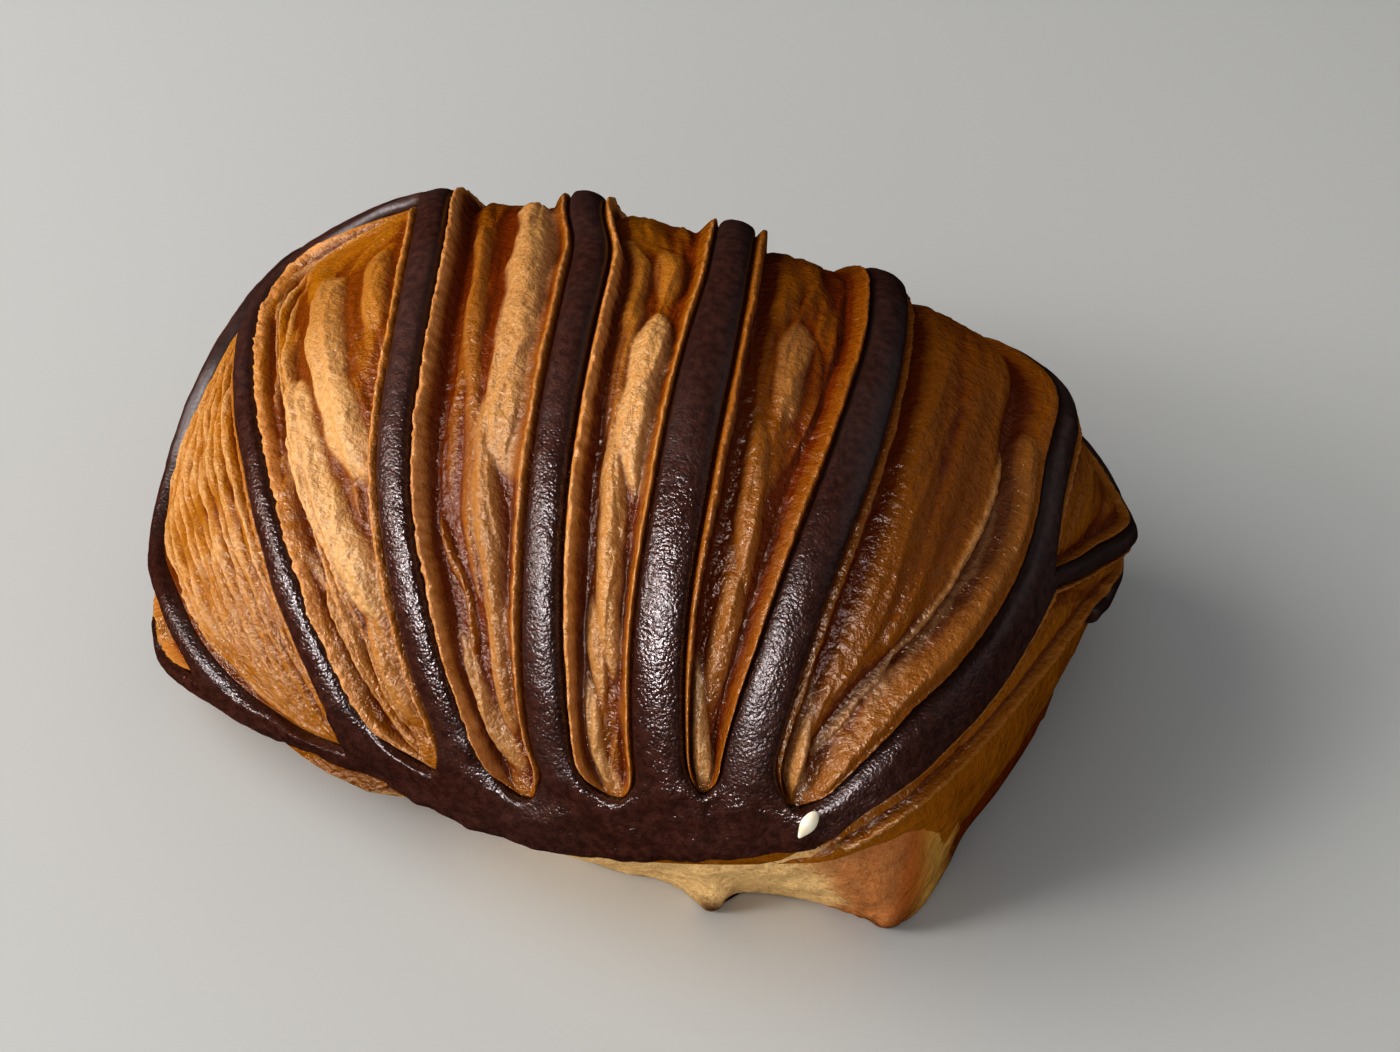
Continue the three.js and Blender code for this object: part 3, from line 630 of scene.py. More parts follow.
def flank_of(k, style, from_left, from_right, uneven):
    left_end = style["left"][2] + FLANK_PAST[0]
    right_end = style["right"][2] + FLANK_PAST[1]
    left_flank = falling(from_left * uneven, left_end, 1.2) * rising(from_left, FLANK_FROM[0], 0.4)
    right_flank = falling(from_right, right_end, 1.4) * rising(from_right, FLANK_FROM[1], 0.5)
    return np.maximum(left_flank, RIGHT_FLANK * right_flank * (k < SOFT_FROM))


print("lips are", round(LIP_TO[0] - LIP_FROM, 2), "mm wide on the left")

# %% Relief of a slit
SLIT_APART = 40.0            # mm between two slits in the noise, so that each has a pattern of its own
LAYERS_CLEAR = (1.1, 0.8)    # mm from a rib where layers start, and over which they come in
EDGE_RED = (0.5, 0.3)        # the same for the red shadow line beside a rib, which ends there
GRAIN = 0.04                 # mm of crumb everywhere
LIP_CRUMB = 0.26             # mm more of it on a lip
DUST_CRUMB = 0.10            # mm more of it, and of curls, on a pale crest
SHADED_SLIT = 2              # its upper half is less pale: painted shade
BAKED_RED = 1.25             # how fast a well baked slit reddens
EDGE_DUST_AND_LIGHT = 0.75             # paleness on the layers' edges, partly dust and partly painted light
GAP_RED = 0.8                # red in the gaps between them: painted shade


def slit_relief(k, t, width, theta):
    """Depth at the places t across a slit, and masks for its lip, its red parts (partly painted shade) and
    its pale crests (partly dust, partly painted light).
    """
    style = FLOORS[k]
    along = theta * MM_PER_DEGREE
    across = t * width + SLIT_APART * k
    from_left, from_right = from_ribs(k, t, width, along)
    nearest = np.minimum(from_left, from_right)
    uneven = 1 + UNEVEN * noise(along / 11, k + 0.7, 6.2)
    depth = cross_section(style, from_left, from_right, uneven)
    inside = rising(from_left, 0.6 * style["left"][2], 1.8) * rising(from_right, 0.8, 2.0)
    sway = noise(across / 7, along / 16, 3.1) * 1.2
    fold, dust_and_light = folds_of(k, t, width, theta, along, sway)
    # Slit 2's upper half is made less pale: painted shade.
    if k == SHADED_SLIT:
        dust_and_light = dust_and_light * mix(0.35, 1.0, falling(theta, 84, 24))
    depth = depth - inside * (fold + style["wrinkle"] * wrinkles_of(k, across, along, sway))
    wave, strong = layers_of(style, t, width, along, sway, from_left, from_right)
    clear = rising(nearest, *LAYERS_CLEAR)
    depth = depth - style["rise"] * wave * strong * clear
    lip = lip_of(style, from_left, from_right, across, along)
    crumble = noise(across / 0.9, along / 1.0, 1.5) + 0.7 * noise(across / 0.45, along / 0.5, 6.5)
    curls = noise(across / 1.3, along / 0.9, 3.3)
    depth = depth - (GRAIN + LIP_CRUMB * lip + DUST_CRUMB * dust_and_light * inside) * crumble * smooth(nearest / 0.5)
    depth = depth - DUST_CRUMB * dust_and_light * inside * curls
    # Layer edges are painted paler, partly as painted light, and the gaps between them red, as painted
    # shade.
    edges = rising(wave, 0.20, 0.22) * strong * clear
    edges = edges * mix(0.4, 1.0, rising(theta, 25, 20))
    gaps = falling(wave, -0.05, 0.25) * strong * clear
    flank = flank_of(k, style, from_left, from_right, uneven)
    # The red mask: torn flanks, partly their own colour and partly painted shade, and painted shade in the
    # gaps and in the line beside each rib.
    red = np.maximum(flank * style["red"], np.maximum(GAP_RED * gaps, falling(nearest, *EDGE_RED)))
    red = np.maximum(red, BAKED_RED * max(style["bake"] - 0.5, 0) * (1 - dust_and_light))
    return depth, lip, red, np.maximum(dust_and_light * inside, EDGE_DUST_AND_LIGHT * edges)


sample = slit_relief(3, np.array([0.5]), np.array([10.0]), np.array([60.0]))
print("depth in the middle of slit 3 near its front, mm:", sample[0].round(2))

# %% [markdown]
# Two kinds of mesh make the dough. The roll itself is a plain closed skin: rings of vertices round
# it, one ring for each row. The torn floors need three times finer vertices, so each slit gets its
# own closed slab, set into the roll between its two ribs. Splitting a model where a rib hides the
# seam is how a small part of it can be rich without making all of it heavy.

# %% Helpers for skins made of rings
def skin(name, points, faces, masks):
    """A smooth-shaded mesh object in the CAD frame, from millimetres, with masks on its vertices."""
    mesh = bpy.data.meshes.new(name)
    mesh.from_pydata(((points + PLACE) * MM).tolist(), [], faces)
    for mask, values in masks.items():
        layer = mesh.attributes.new(mask, "FLOAT", "POINT")
        layer.data.foreach_set("value", np.ascontiguousarray(values, dtype=np.float32))
    mesh.polygons.foreach_set("use_smooth", [True] * len(mesh.polygons))
    mesh.update()
    piece = bpy.data.objects.new(name, mesh)
    bpy.context.scene.collection.objects.link(piece)
    return piece


def ring_faces(ring_count, ring_size):
    """Quads between closed rings, and a fan of triangles to a hub at each end."""
    i = np.arange(ring_count - 1)[:, None] * ring_size
    j = np.arange(ring_size)[None, :]
    k = (j + 1) % ring_size
    quads = np.stack([i + j, i + k, i + ring_size + k, i + ring_size + j], axis=-1).reshape(-1, 4)
    hub = ring_count * ring_size
    last = (ring_count - 1) * ring_size
    start = [(hub, (n + 1) % ring_size, n) for n in range(ring_size)]
    end = [(hub + 1, last + n, last + (n + 1) % ring_size) for n in range(ring_size)]
    return quads.tolist() + start + end


def ring_skin(name, rings, masks):
    """A closed skin from rings of points, row by row, each mask given as a value for every point."""
    hubs = np.array([rings[0].mean(axis=0), rings[-1].mean(axis=0)])
    vertices = np.concatenate([rings.reshape(-1, 3), hubs])
    values = {mask: np.concatenate([field.ravel(), field[[0, -1], 0]]) for mask, field in masks.items()}
    return skin(name, vertices, ring_faces(*rings.shape[:2]), values)


def blurred(field, along, across):
    """The field smoothed over a number of rows and columns, to tell crests from hollows."""
    for axis, reach in ((0, along), (1, across)):
        offsets = np.arange(-2 * reach, 2 * reach + 1)
        weights = np.exp(-0.5 * (offsets / reach) ** 2)
        weights /= weights.sum()
        pad = [(0, 0), (0, 0)]
        pad[axis] = (2 * reach, 2 * reach)
        padded = np.pad(field, pad, mode="edge")
        length = field.shape[axis]
        field = sum(w * np.take(padded, np.arange(n, n + length), axis=axis)
                    for n, w in enumerate(weights))
    return field


# %% [markdown]
# The roll's skin only has to carry the slabs and show under the sheet, so between its slits it is
# coarse, and in them it sinks below the slabs as a bed.

# %% The roll
FRONT_RING = 0.8             # degrees of the first ring round the front edge
FRONT_TUCK = 5.5             # mm that the dough under the front band is tucked in
FRONT_INWARD = 5.0           # mm that the left of the front edge is drawn in
UNDER_COLUMNS = 64
UNDER_DEEPER = 0.6           # mm that the underside lies deeper than the dough under the ribs
BARE_FROM = 163              # degrees where bare dough starts below the back band
EDGE_RINGS = np.array([1.0, 0.72, 0.45, 0.2])
BEDS = (0.0, 0.08, 0.2, 0.5, 0.8, 0.92)      # places across a slit where the roll has a vertex
BED_BELOW = 1.3                              # mm from a slab's groove down to the roll's own skin
RIB_COLUMNS = 3
rows = np.concatenate([np.linspace(FIRST_ROW, 60.0, 70), np.linspace(61.2, 176.5, 66)])


def roll_columns():
    """Every column of the roll's skin as theta, phi and depth, with one value a row."""
    columns = []

    def add(theta, phi, depth):
        columns.append([np.broadcast_to(v, rows.shape) for v in (theta, phi, depth)])

    rib_left = first = on_row(rows, lambda l: l[1])
    last = on_row(rows, lambda l: l[2])
    for k, style in enumerate(FLOORS):
        left = on_row(rows, lambda l: l[0][k][0])
        right_edge = on_row(rows, lambda l: l[0][k][1])
        for n in range(RIB_COLUMNS):
            t = n / RIB_COLUMNS
            add(mix(rib_left[0], left[0], t), mix(rib_left[1], left[1], t), UNDER_SHEET)
        opened = 0.5 * (layout(left[0])[0][k][2] + layout(right_edge[0])[0][k][2])
        bed = max(style["left"][1], style["right"][1], style["floor"]) + BED_BELOW
        for t in BEDS:
            depth = mix(UNDER_SHEET, bed, opened if t > 0 else 0.0)
            add(mix(left[0], right_edge[0], t), mix(left[1], right_edge[1], t), depth)
        rib_left = right_edge
    for n in range(RIB_COLUMNS):
        t = n / RIB_COLUMNS
        add(mix(rib_left[0], last[0], t), mix(rib_left[1], last[1], t), UNDER_SHEET)
    span = first[1] + 360 - last[1]
    for n in range(UNDER_COLUMNS):
        t = n / UNDER_COLUMNS
        phi = last[1] + span * t
        tuck = FRONT_TUCK * falling(rows, 46, 30) * smooth(t / 0.2) * smooth((1 - t) / 0.12)
        below = UNDER_SHEET + UNDER_DEEPER * smooth(t / 0.1) * smooth((1 - t) / 0.1)
        add(row_angle(rows, phi), phi, below + tuck)
    return np.array(columns).transpose(1, 2, 0)      # what, row, column


theta, phi, depth = roll_columns()
at = roll(phi, theta, depth)
x, y, z = at.transpose(2, 0, 1)
swell = 0.25 * noise(x / 5, y / 5, z / 5) + 0.15 * noise(x / 2, y / 2, z / 2)
underneath = np.arange(phi.shape[1]) > phi.shape[1] - UNDER_COLUMNS
bare = rising(theta, BARE_FROM, 5) + np.where(underneath, 1, 0)
swell = swell * np.clip(bare, 0, 1)
depth = depth - swell
inset = [FRONT_INWARD * e * smooth((-4 - phi[0]) / 25) for e in EDGE_RINGS]
edge = [roll(phi[0], mix(theta[0], FRONT_RING, e), depth[0] + d) for e, d in zip(EDGE_RINGS, inset)]
rings = np.concatenate([np.array(edge), roll(phi, theta, depth)])
hollow = np.concatenate([np.zeros((len(EDGE_RINGS), depth.shape[1])), np.clip(-swell / 0.4, -1, 1)])
dough = ring_skin("golden_roll", rings, {"hollow": hollow, "bake": np.full(hollow.shape, 0.35)})
print("golden roll: faces", len(dough.data.polygons))

# %% [markdown]
# A slab's vertices lie closer together beside the ribs, where the lip and the groove turn sharply.
# The mask for hollows is the depth less its own average over about two millimetres, which is what a
# painter would do by eye: crests are painted paler, as flour and as painted light, and hollows browner,
# as the brown wash and as painted shade.

# %% The torn floors
SLAB_COLUMNS = (24, 110, 104, 88, 80, 80, 108, 64, 32)
SLAB_BACK = 7                # columns on a slab's hidden side
SLAB_UNDER_RIB = 0.04        # how far a slab runs on below the ribs, as a share of its width
SLAB_THICK = 2.4
FINE_STEP = 0.45             # degrees from row to row where the slit is in full view
COARSE_STEP = 1.5
VIEW_TO = 118.0
OVERRUN = 0.4                # rows that a slab runs on past its slit's ends
SLAB_SPACING = 0.06          # how much closer the columns lie beside the ribs
SLAB_DEEPER = 0.5            # mm that the hidden side starts below the top
SLAB_BELLY = 3.0             # mm that it bulges
AVERAGE_OVER = (5, 9)        # rows and columns of the average that a hollow is measured from
HOLLOW_FULL = 0.45           # mm of depth that count as a full hollow
DEEP_FULL = 3                # mm below the dough under the ribs that count as deep


def span_between(left, right_edge):
    """Distance in mm from one line of (theta, phi) to another, row by row."""
    return np.linalg.norm(roll(right_edge[1], right_edge[0], 0.0) - roll(left[1], left[0], 0.0), axis=-1)


def slab(k):
    """The torn floor of slit k, a closed skin with its masks."""
    start_row, end_row = SLITS[k][:2]
    fine = np.arange(start_row - OVERRUN, min(VIEW_TO, end_row), FINE_STEP)
    coarse = np.arange(fine[-1] + COARSE_STEP, end_row + OVERRUN, COARSE_STEP)
    slab_rows = np.unique(np.maximum(np.concatenate([fine, coarse]), FIRST_ROW))
    left = on_row(slab_rows, lambda l: l[0][k][0])
    right_edge = on_row(slab_rows, lambda l: l[0][k][1])
    opened = 0.5 * (layout(left[0])[0][k][2] + layout(right_edge[0])[0][k][2])[:, None]
    width = span_between(left, right_edge)
    s = np.linspace(-SLAB_UNDER_RIB, 1 + SLAB_UNDER_RIB, SLAB_COLUMNS[k])
    t = (s - SLAB_SPACING * np.sin(2 * math.pi * s))[None, :] + np.zeros_like(opened)
    theta = mix(left[0][:, None], right_edge[0][:, None], t)
    phi = mix(left[1][:, None], right_edge[1][:, None], t)
    inside = (t >= 0) & (t <= 1)
    depth, lip, red, dust_and_light = slit_relief(k, np.clip(t, 0, 1), width[:, None], theta)
    depth = mix(UNDER_SHEET, depth, opened)
    depth = np.where(inside, depth, UNDER_SHEET)
    hollow = np.clip((depth - blurred(depth, *AVERAGE_OVER)) / HOLLOW_FULL, -1, 1)
    thick = np.linspace(1, 0, SLAB_BACK + 2)[1:-1][None, :] + np.zeros_like(opened)
    low = UNDER_SHEET + SLAB_DEEPER + SLAB_THICK * opened + SLAB_BELLY * opened * np.sin(math.pi * thick)
    under = roll(mix(phi[:, :1], phi[:, -1:], thick), mix(theta[:, :1], theta[:, -1:], thick), low)
    rings = np.concatenate([roll(phi, theta, depth), under], axis=1)
    rest = np.zeros(under.shape[:2])
    fields = {
        "hollow": hollow,
        "lip": lip * opened * inside,
        "flank": red * opened,
        # Pale crests: partly dust, partly painted light.
        "pillow": dust_and_light * opened,
        # Deeper dough is browned in the crust group: painted shade in the recesses.
        "deep": np.clip((depth - UNDER_SHEET) / DEEP_FULL, 0, 1),
        "bake": np.full(depth.shape, FLOORS[k]["bake"]),
    }
    masks = {mask: np.concatenate([field, rest], axis=1) for mask, field in fields.items()}
    return ring_skin(f"torn_floor_{k}", rings, masks)


floors = [slab(k) for k in range(len(SLITS))]
for piece in floors:
    print(piece.name, "faces", len(piece.data.polygons))

# %% [markdown]
# Below the roll the sheet's end lies on the table: a foot with two corners, a notch between them, and
# a cut edge on the right. It is a small lofted skin through measured points, filled in by curves that
# pass through them (Catmull-Rom).

# %% The sheet's end below the roll
# Each column: on the table, at the sheet's upper edge, half way up, and where it meets the roll, mm.
SKIRT = np.array([
    [[-6, -30, 0], [-6, -31, 2], [-5, -35, 5], [-4, -38, 10]],
    [[3, -33, 0], [3, -34.5, 2], [3, -37.5, 5], [4, -39.5, 10]],
    [[12, -34.5, 0], [12, -36, 2.5], [12.5, -38.6, 6], [13, -40.5, 11]],
    [[19, -34, 0], [19.5, -35.6, 2.5], [20, -37, 6], [20, -40, 13]],
    [[24.3, -35.8, 0], [25, -36.8, 1.5], [25, -37.5, 6], [24, -40, 14]],
    [[27, -32.6, 0], [27.4, -34, 3], [28.5, -36.5, 8], [29, -38.6, 14.5]],
    [[35, -31, 0], [35.5, -32.6, 2.5], [36, -35.5, 9], [35, -37.2, 17]],
    [[40, -31.3, 0], [40.5, -33, 2.5], [40.8, -35.2, 10], [39.5, -34.6, 20.5]],
    [[43.2, -31.6, 0], [43.8, -33.2, 2.8], [45, -32.4, 12], [43.4, -31, 21.5]],
    [[45.8, -28.3, 0], [46.1, -29, 3.2], [47.8, -25, 13.5], [46.4, -23.6, 22.5]],
    [[47.2, -22, 0], [47.2, -22.4, 5], [49.4, -19, 15.5], [48.6, -16.5, 23]],
    [[48, -16, 0], [48, -15.5, 4], [49.6, -13, 13], [50, -11.5, 22]],
    [[50.3, -8, 0], [51, -7.5, 6], [52, -6, 12.5], [51.5, -4, 20]],
    [[52.3, 3, 0], [53.2, 4, 6], [54, 4, 12], [53.5, 4, 19]],
    [[51.5, 13, 0], [52.3, 14, 4], [53, 14, 9], [52.5, 14, 15]],
], dtype=float)
SKIRT_BACK = np.array([[40, 24], [18, 26], [-2, 16], [-8, -8]], dtype=float)   # its outline under the roll
SKIRT_HUB = np.array([22.0, -6.0, 0.0])      # a point that all of it lies round
SKIRT_TUCK = 5.0             # mm that its top runs on into the roll
SKIRT_ALONG = 14             # steps between two columns, and between two levels
SKIRT_UP = 9


def smooth_line(places, steps):
    """A Catmull-Rom line through the places along the first axis."""
    ends = np.concatenate([places[:1], places, places[-1:]])
    found = []
    for i in range(len(places) - 1):
        a, b, c, d = ends[i:i + 4]
        for n in range(steps):
            t = n / steps
            found.append(0.5 * (2 * b + (c - a) * t + (2 * a - 5 * b + 4 * c - d) * t**2
                                + (3 * b - a - 3 * c + d) * t**3))
    return np.array([*found, places[-1]])


print("sheet end: columns", len(SKIRT), "of", SKIRT.shape[1], "points")

# %% [markdown]
# The smooth skin is pushed outward a little along its normals, by blisters everywhere and by fine
# layer lines on the right, where the sheet was cut. Its back, hidden under the roll, closes it.

# %% Skin of the sheet's end
BLISTERS = (0.35, 0.18)      # mm, large and small
LAYER_HEIGHT = 0.16          # mm
LAYER_PITCH = 1.3            # mm
LEAST_HEIGHT = 0.2           # mm that a level keeps above the one below

inward = (SKIRT_HUB - SKIRT[:, 3]) * (1, 1, 0)
inward *= SKIRT_TUCK / np.linalg.norm(inward, axis=1)[:, None]
tucked = np.concatenate([SKIRT, (SKIRT[:, 3] + inward)[:, None]], axis=1)
sheet_end = smooth_line(tucked, SKIRT_ALONG)
sheet_end = smooth_line(sheet_end.transpose(1, 0, 2), SKIRT_UP)
level_count = len(sheet_end)
height = np.linspace(0, 4, level_count)
outward = np.gradient(sheet_end, axis=1)
outward = np.cross(outward, np.gradient(sheet_end, axis=0))
outward /= np.maximum(np.linalg.norm(outward, axis=2), 1e-9)[..., None]
outward *= np.where((outward * (sheet_end - SKIRT_HUB)).sum(axis=2) > 0, 1, -1)[..., None]
x, y, z = sheet_end.transpose(2, 0, 1)
blister = BLISTERS[0] * noise(x / 3.2, y / 3.2, z / 3.2) + BLISTERS[1] * noise(x / 1.2, y / 1.2, z / 1.2)
right_side = rising(x, 44, 3) * rising(y, -30, 6)
layer_at = 2 * math.pi * (z + 0.25 * x + noise(x / 6, y / 6, z / 6)) / LAYER_PITCH
layer_lines = LAYER_HEIGHT * np.sin(layer_at)
raised = blister + right_side * layer_lines
raised *= smooth(height / 0.5)[:, None]
sheet_end = sheet_end + raised[..., None] * outward
rear_points = np.stack([np.column_stack([SKIRT_BACK, np.full(len(SKIRT_BACK), 3 * v)]) for v in height])
loop = np.concatenate([sheet_end, rear_points], axis=1)
loop[0, :, 2] = 0.0
loop[1:, :, 2] = np.maximum(loop[1:, :, 2], LEAST_HEIGHT * height[1:, None])
hubs = np.array([loop[0].mean(axis=0), loop[-1].mean(axis=0)])
print("sheet end: vertices", loop.shape[0] * loop.shape[1])

# %% [markdown]
# Four masks colour it: the corners that touched the hot tray are burnt, the cut edge shows pale crumb,
# the front is pale on the left, and the right side is brown.

# %% Masks of the sheet's end
# Place, spread in square mm and strength of each burnt corner.
BURNT_CORNERS = [((25, -37, 1), 5, 1.0), ((43.5, -32, 1), 6, 0.7)]
CUT_AT = (46.5, -27)
CUT_SPREAD = (1.6, 4.5)
PALE_TO = 34                 # mm to the right where the pale front begins to darken
DARKEST_FRONT = 0.25
pad = np.zeros((level_count, len(SKIRT_BACK)))


def flap_mask(field):
    """A mask on the visible skin, and 0 on the hidden back and the hubs."""
    return np.concatenate([np.concatenate([field, pad], axis=1).ravel(), [0.0, 0.0]])


burnt = sum(strength * np.exp(-((x - a) ** 2 + (y - b) ** 2 + (z - c) ** 2) / spread)
            for (a, b, c), spread, strength in BURNT_CORNERS)
wander = x - PALE_TO + 3 * noise(x / 5, y / 5, z / 5)
pale = mix(1.0, DARKEST_FRONT, smooth(wander / 6)) * (1 - rising(x, 43, 3))
cut = np.exp(-(((x - CUT_AT[0]) / CUT_SPREAD[0]) ** 2) - ((y - CUT_AT[1]) / CUT_SPREAD[1]) ** 2)
flap = skin(
    "sheet_end", np.concatenate([loop.reshape(-1, 3), hubs]), ring_faces(*loop.shape[:2]),
    {"hollow": flap_mask(np.clip(-raised / 0.4, -1, 1)), "burnt": flap_mask(burnt),
     "side": flap_mask(right_side), "cut": flap_mask(cut), "pale": flap_mask(pale)},
)
print("sheet end: faces", len(flap.data.polygons))

# %% [markdown]
# The cocoa sheet is a thin dough dyed with cocoa: a front band, ribs and a back band in one piece. It
# is made as cells between the same edges as the slits, only where there is sheet, with an outer and an
# inner skin and walls round every opening. The outer skin falls away near an edge, which rounds it.

# %% The cocoa sheet
SHEET = 1.6                  # mm thick here, so that it sinks a little into the dough
EDGE_ROUND = 0.75            # mm over which an edge is rounded
RIB_CELLS = 18
CROWN = 0.55                 # mm that a rib's middle stands above its sides
sheet_rows = np.concatenate([
    FIRST_ROW + np.array([0.0, 0.12, 0.3, 0.55, 0.8]),
    np.linspace(3.2, 116.0, 190),
    np.linspace(117.2, SHEET_TO, 50),
])


def rounding(distance):
    """How far the outer skin lies below its full height at a distance from a free edge, mm."""
    t = np.clip(1 - distance / EDGE_ROUND, 0, 1)
    return EDGE_ROUND * (1 - np.sqrt(1 - t * t))


def sheet_columns():
    """Theta, phi and depth of every vertex of the outer skin."""
    first = on_row(sheet_rows, lambda l: l[1])
    last = on_row(sheet_rows, lambda l: l[2])
    found = []
    for k in range(len(RIBS)):
        left = first if k == 0 else on_row(sheet_rows, lambda l: l[0][k - 1][1])
        right_edge = last if k == len(RIBS) - 1 else on_row(sheet_rows, lambda l: l[0][k][0])
        width = span_between(left, right_edge)
        open_left = 1.0 if k == 0 else layout(left[0])[0][k - 1][2]
        open_right = 1.0 if k == len(RIBS) - 1 else layout(right_edge[0])[0][k][2]
        for n in range(RIB_CELLS + 1):
            s = n / RIB_CELLS
            t = s - 0.12 * math.sin(2 * math.pi * s)
            theta = mix(left[0], right_edge[0], t)
            crown = CROWN * (2 * t - 1) ** 2 * (open_left if t < 0.5 else open_right)
            drop = np.maximum(rounding(t * width) * open_left, rounding((1 - t) * width) * open_right)
            ends = np.minimum((sheet_rows - FIRST_ROW), (SHEET_TO - sheet_rows)) * MM_PER_DEGREE
            drop = np.maximum(drop, rounding(ends))
            found.append([theta, mix(left[1], right_edge[1], t), crown + drop])
    return np.array(found).transpose(1, 2, 0)


print("cocoa sheet: rows", len(sheet_rows))

# %% Which cells are sheet
def cell_columns():
    """For each strip of cells: its two vertex columns and whether it is a rib or a slit."""
    strips = []
    step = RIB_CELLS + 1
    for k in range(len(RIBS)):
        strips += [(k * step + n, k * step + n + 1, "rib", k) for n in range(RIB_CELLS)]
        if k < len(SLITS):
            strips.append((k * step + RIB_CELLS, (k + 1) * step, "slit", k))
    return strips


def is_sheet(kind, k, row):
    """Whether there is sheet in a strip at a row: always in a rib, and in a slit beyond its ends."""
    if kind == "rib":
        return k < len(RIBS) - 1 or row > LAST_RIB_FROM
    start_row, end_row = SLITS[k][:2]
    return row > end_row or (row < start_row and k != BARE_SLIT)


strips = cell_columns()
middles = (sheet_rows[1:] + sheet_rows[:-1]) / 2
here = np.array([[is_sheet(kind, k, row) for _, _, kind, k in strips] for row in middles])
print("cells with sheet:", int(here.sum()), "of", here.size)

# %% Skins and walls
RIPPLES = (0.10, 0.05)       # mm, on the ribs
LUMPS = (0.45, 0.25)         # mm, on the front band
BAND_TO = 22                 # degrees where the front band ends
theta, phi, depth = sheet_columns()
outer = roll(phi, theta, depth)
x, y, z = outer.transpose(2, 0, 1)
ripple = RIPPLES[0] * noise(x / 3.5, y / 3.5, z / 3.5) + RIPPLES[1] * noise(x / 1.1, y / 1.1, z / 1.1)
lumps = LUMPS[0] * noise(x / 5, y / 5, z / 5) + LUMPS[1] * noise(x / 2, y / 2, z / 2)
ripple = (ripple + lumps * falling(theta, BAND_TO, 8)) * falling(depth, 0.8, 0.5)
outer = roll(phi, theta, depth - ripple)
inner = roll(phi, theta, np.full(depth.shape, SHEET))
column_count = outer.shape[1]
around = np.pad(here, 1)
faces = []
inner_start = len(sheet_rows) * column_count
for i, j in np.argwhere(here):
    left_column, right_column = strips[j][:2]
    a = i * column_count + left_column
    b = i * column_count + right_column
    c = (i + 1) * column_count + right_column
    d = (i + 1) * column_count + left_column
    A, B, C, D = (v + inner_start for v in (a, b, c, d))
    faces += [(a, b, c, d), (A, D, C, B)]
    if not around[i + 1, j]:
        faces.append((a, d, D, A))
    if not around[i + 1, j + 2]:
        faces.append((b, B, C, c))
    if not around[i, j + 1]:
        faces.append((a, A, B, b))
    if not around[i + 2, j + 1]:
        faces.append((d, c, C, D))
vertices = np.concatenate([outer.reshape(-1, 3), inner.reshape(-1, 3)])
faces = np.array(faces)
used, renumbered = np.unique(faces, return_inverse=True)
# The cocoa is painted darker where its outer skin falls away at the rounded sides, and on the inner skin
# and walls: painted shade.
rib_side_shade = np.concatenate([smooth(depth / 0.5).ravel(), np.ones(inner.shape[0] * inner.shape[1])])
front_mask = np.tile(falling(theta, 88, 40).ravel(), 2)
cocoa = skin("cocoa_sheet", vertices[used], renumbered.reshape(faces.shape).tolist(),
             {"edge": rib_side_shade[used], "front": front_mask[used]})
print("cocoa sheet: faces", len(cocoa.data.polygons))

# %% [markdown]
# One sesame seed lies on the front band, its blunt end up and leaning to the right. It is a ball
# squeezed to a drop, sunk a little in the sheet.

# %% The sesame seed
SEED_LENGTH = 3.2
SEED_WIDTH = 1.6
SEED_THICK = 1.0
SEED_POINT = 0.45            # how much narrower the pointed end is
SEED_LIFT = 0.4              # mm of its middle above the sheet
SEED_PROUD = 0.18            # mm more, along its own thickness
SEED_AT = (17.2, 46.0)       # theta, phi
SEED_LEAN = 0.16             # radians
SEED_TILT = 0.36             # radians that its lower end stands off the sheet
SEED_RINGS = 28
SEED_AROUND = 36


def seed_points():
    """Rings of points from the pointed end to the blunt end."""
    theta, phi = (np.array(v) for v in SEED_AT)
    at = roll(phi, theta, 0.0)
    along = roll(phi, theta + 1, 0.0) - at
    along /= np.linalg.norm(along)
    across = roll(phi + 1, theta, 0.0) - at
    across -= along * (across @ along)
    across /= np.linalg.norm(across)
    lift = np.cross(across, along)
    long_axis = along * math.cos(SEED_LEAN) + across * math.sin(SEED_LEAN)
    wide_axis = np.cross(lift, long_axis)
    long_axis = long_axis * math.cos(SEED_TILT) - lift * math.sin(SEED_TILT)
    lift = np.cross(long_axis, wide_axis)
    at = at + lift * SEED_LIFT
    v = np.linspace(0.02, math.pi - 0.02, SEED_RINGS)[:, None]
    u = np.linspace(0, 2 * math.pi, SEED_AROUND, endpoint=False)[None, :]
    length = -0.5 * np.cos(v) + 0 * u
    taper = 1 - SEED_POINT * falling(length, 0.15, 0.65) ** 1.5
    rim = 1 + 0.03 * np.cos(2 * u)
    wide = 0.5 * np.sin(v) * np.cos(u) * taper * rim
    thick = 0.5 * np.sin(v) * np.sin(u) * taper
    return (at + length[..., None] * SEED_LENGTH * long_axis + wide[..., None] * SEED_WIDTH * wide_axis
            + (thick * SEED_THICK + SEED_PROUD)[..., None] * lift)


seed_loops = seed_points()
seed_ends = np.array([seed_loops[0].mean(axis=0), seed_loops[-1].mean(axis=0)])
seed = skin("sesame_seed", np.concatenate([seed_loops.reshape(-1, 3), seed_ends]),
            ring_faces(*seed_loops.shape[:2]), {})
print("seed: faces", len(seed.data.polygons))

# %% [markdown]
# Meshes made by formula may come out inside out. Blender can turn every face outward, which the
# shading and the bump rely on.

# %% Turn the faces outward
def face_outward(piece):
    work = bmesh.new()
    work.from_mesh(piece.data)
    bmesh.ops.recalc_face_normals(work, faces=work.faces)
    if work.calc_volume(signed=True) < 0:
        bmesh.ops.reverse_faces(work, faces=work.faces)
    work.to_mesh(piece.data)
    work.free()


for piece in (dough, *floors, flap, cocoa, seed):
    face_outward(piece)
    print(piece.name, "triangles:", sum(len(p.vertices) - 2 for p in piece.data.polygons))

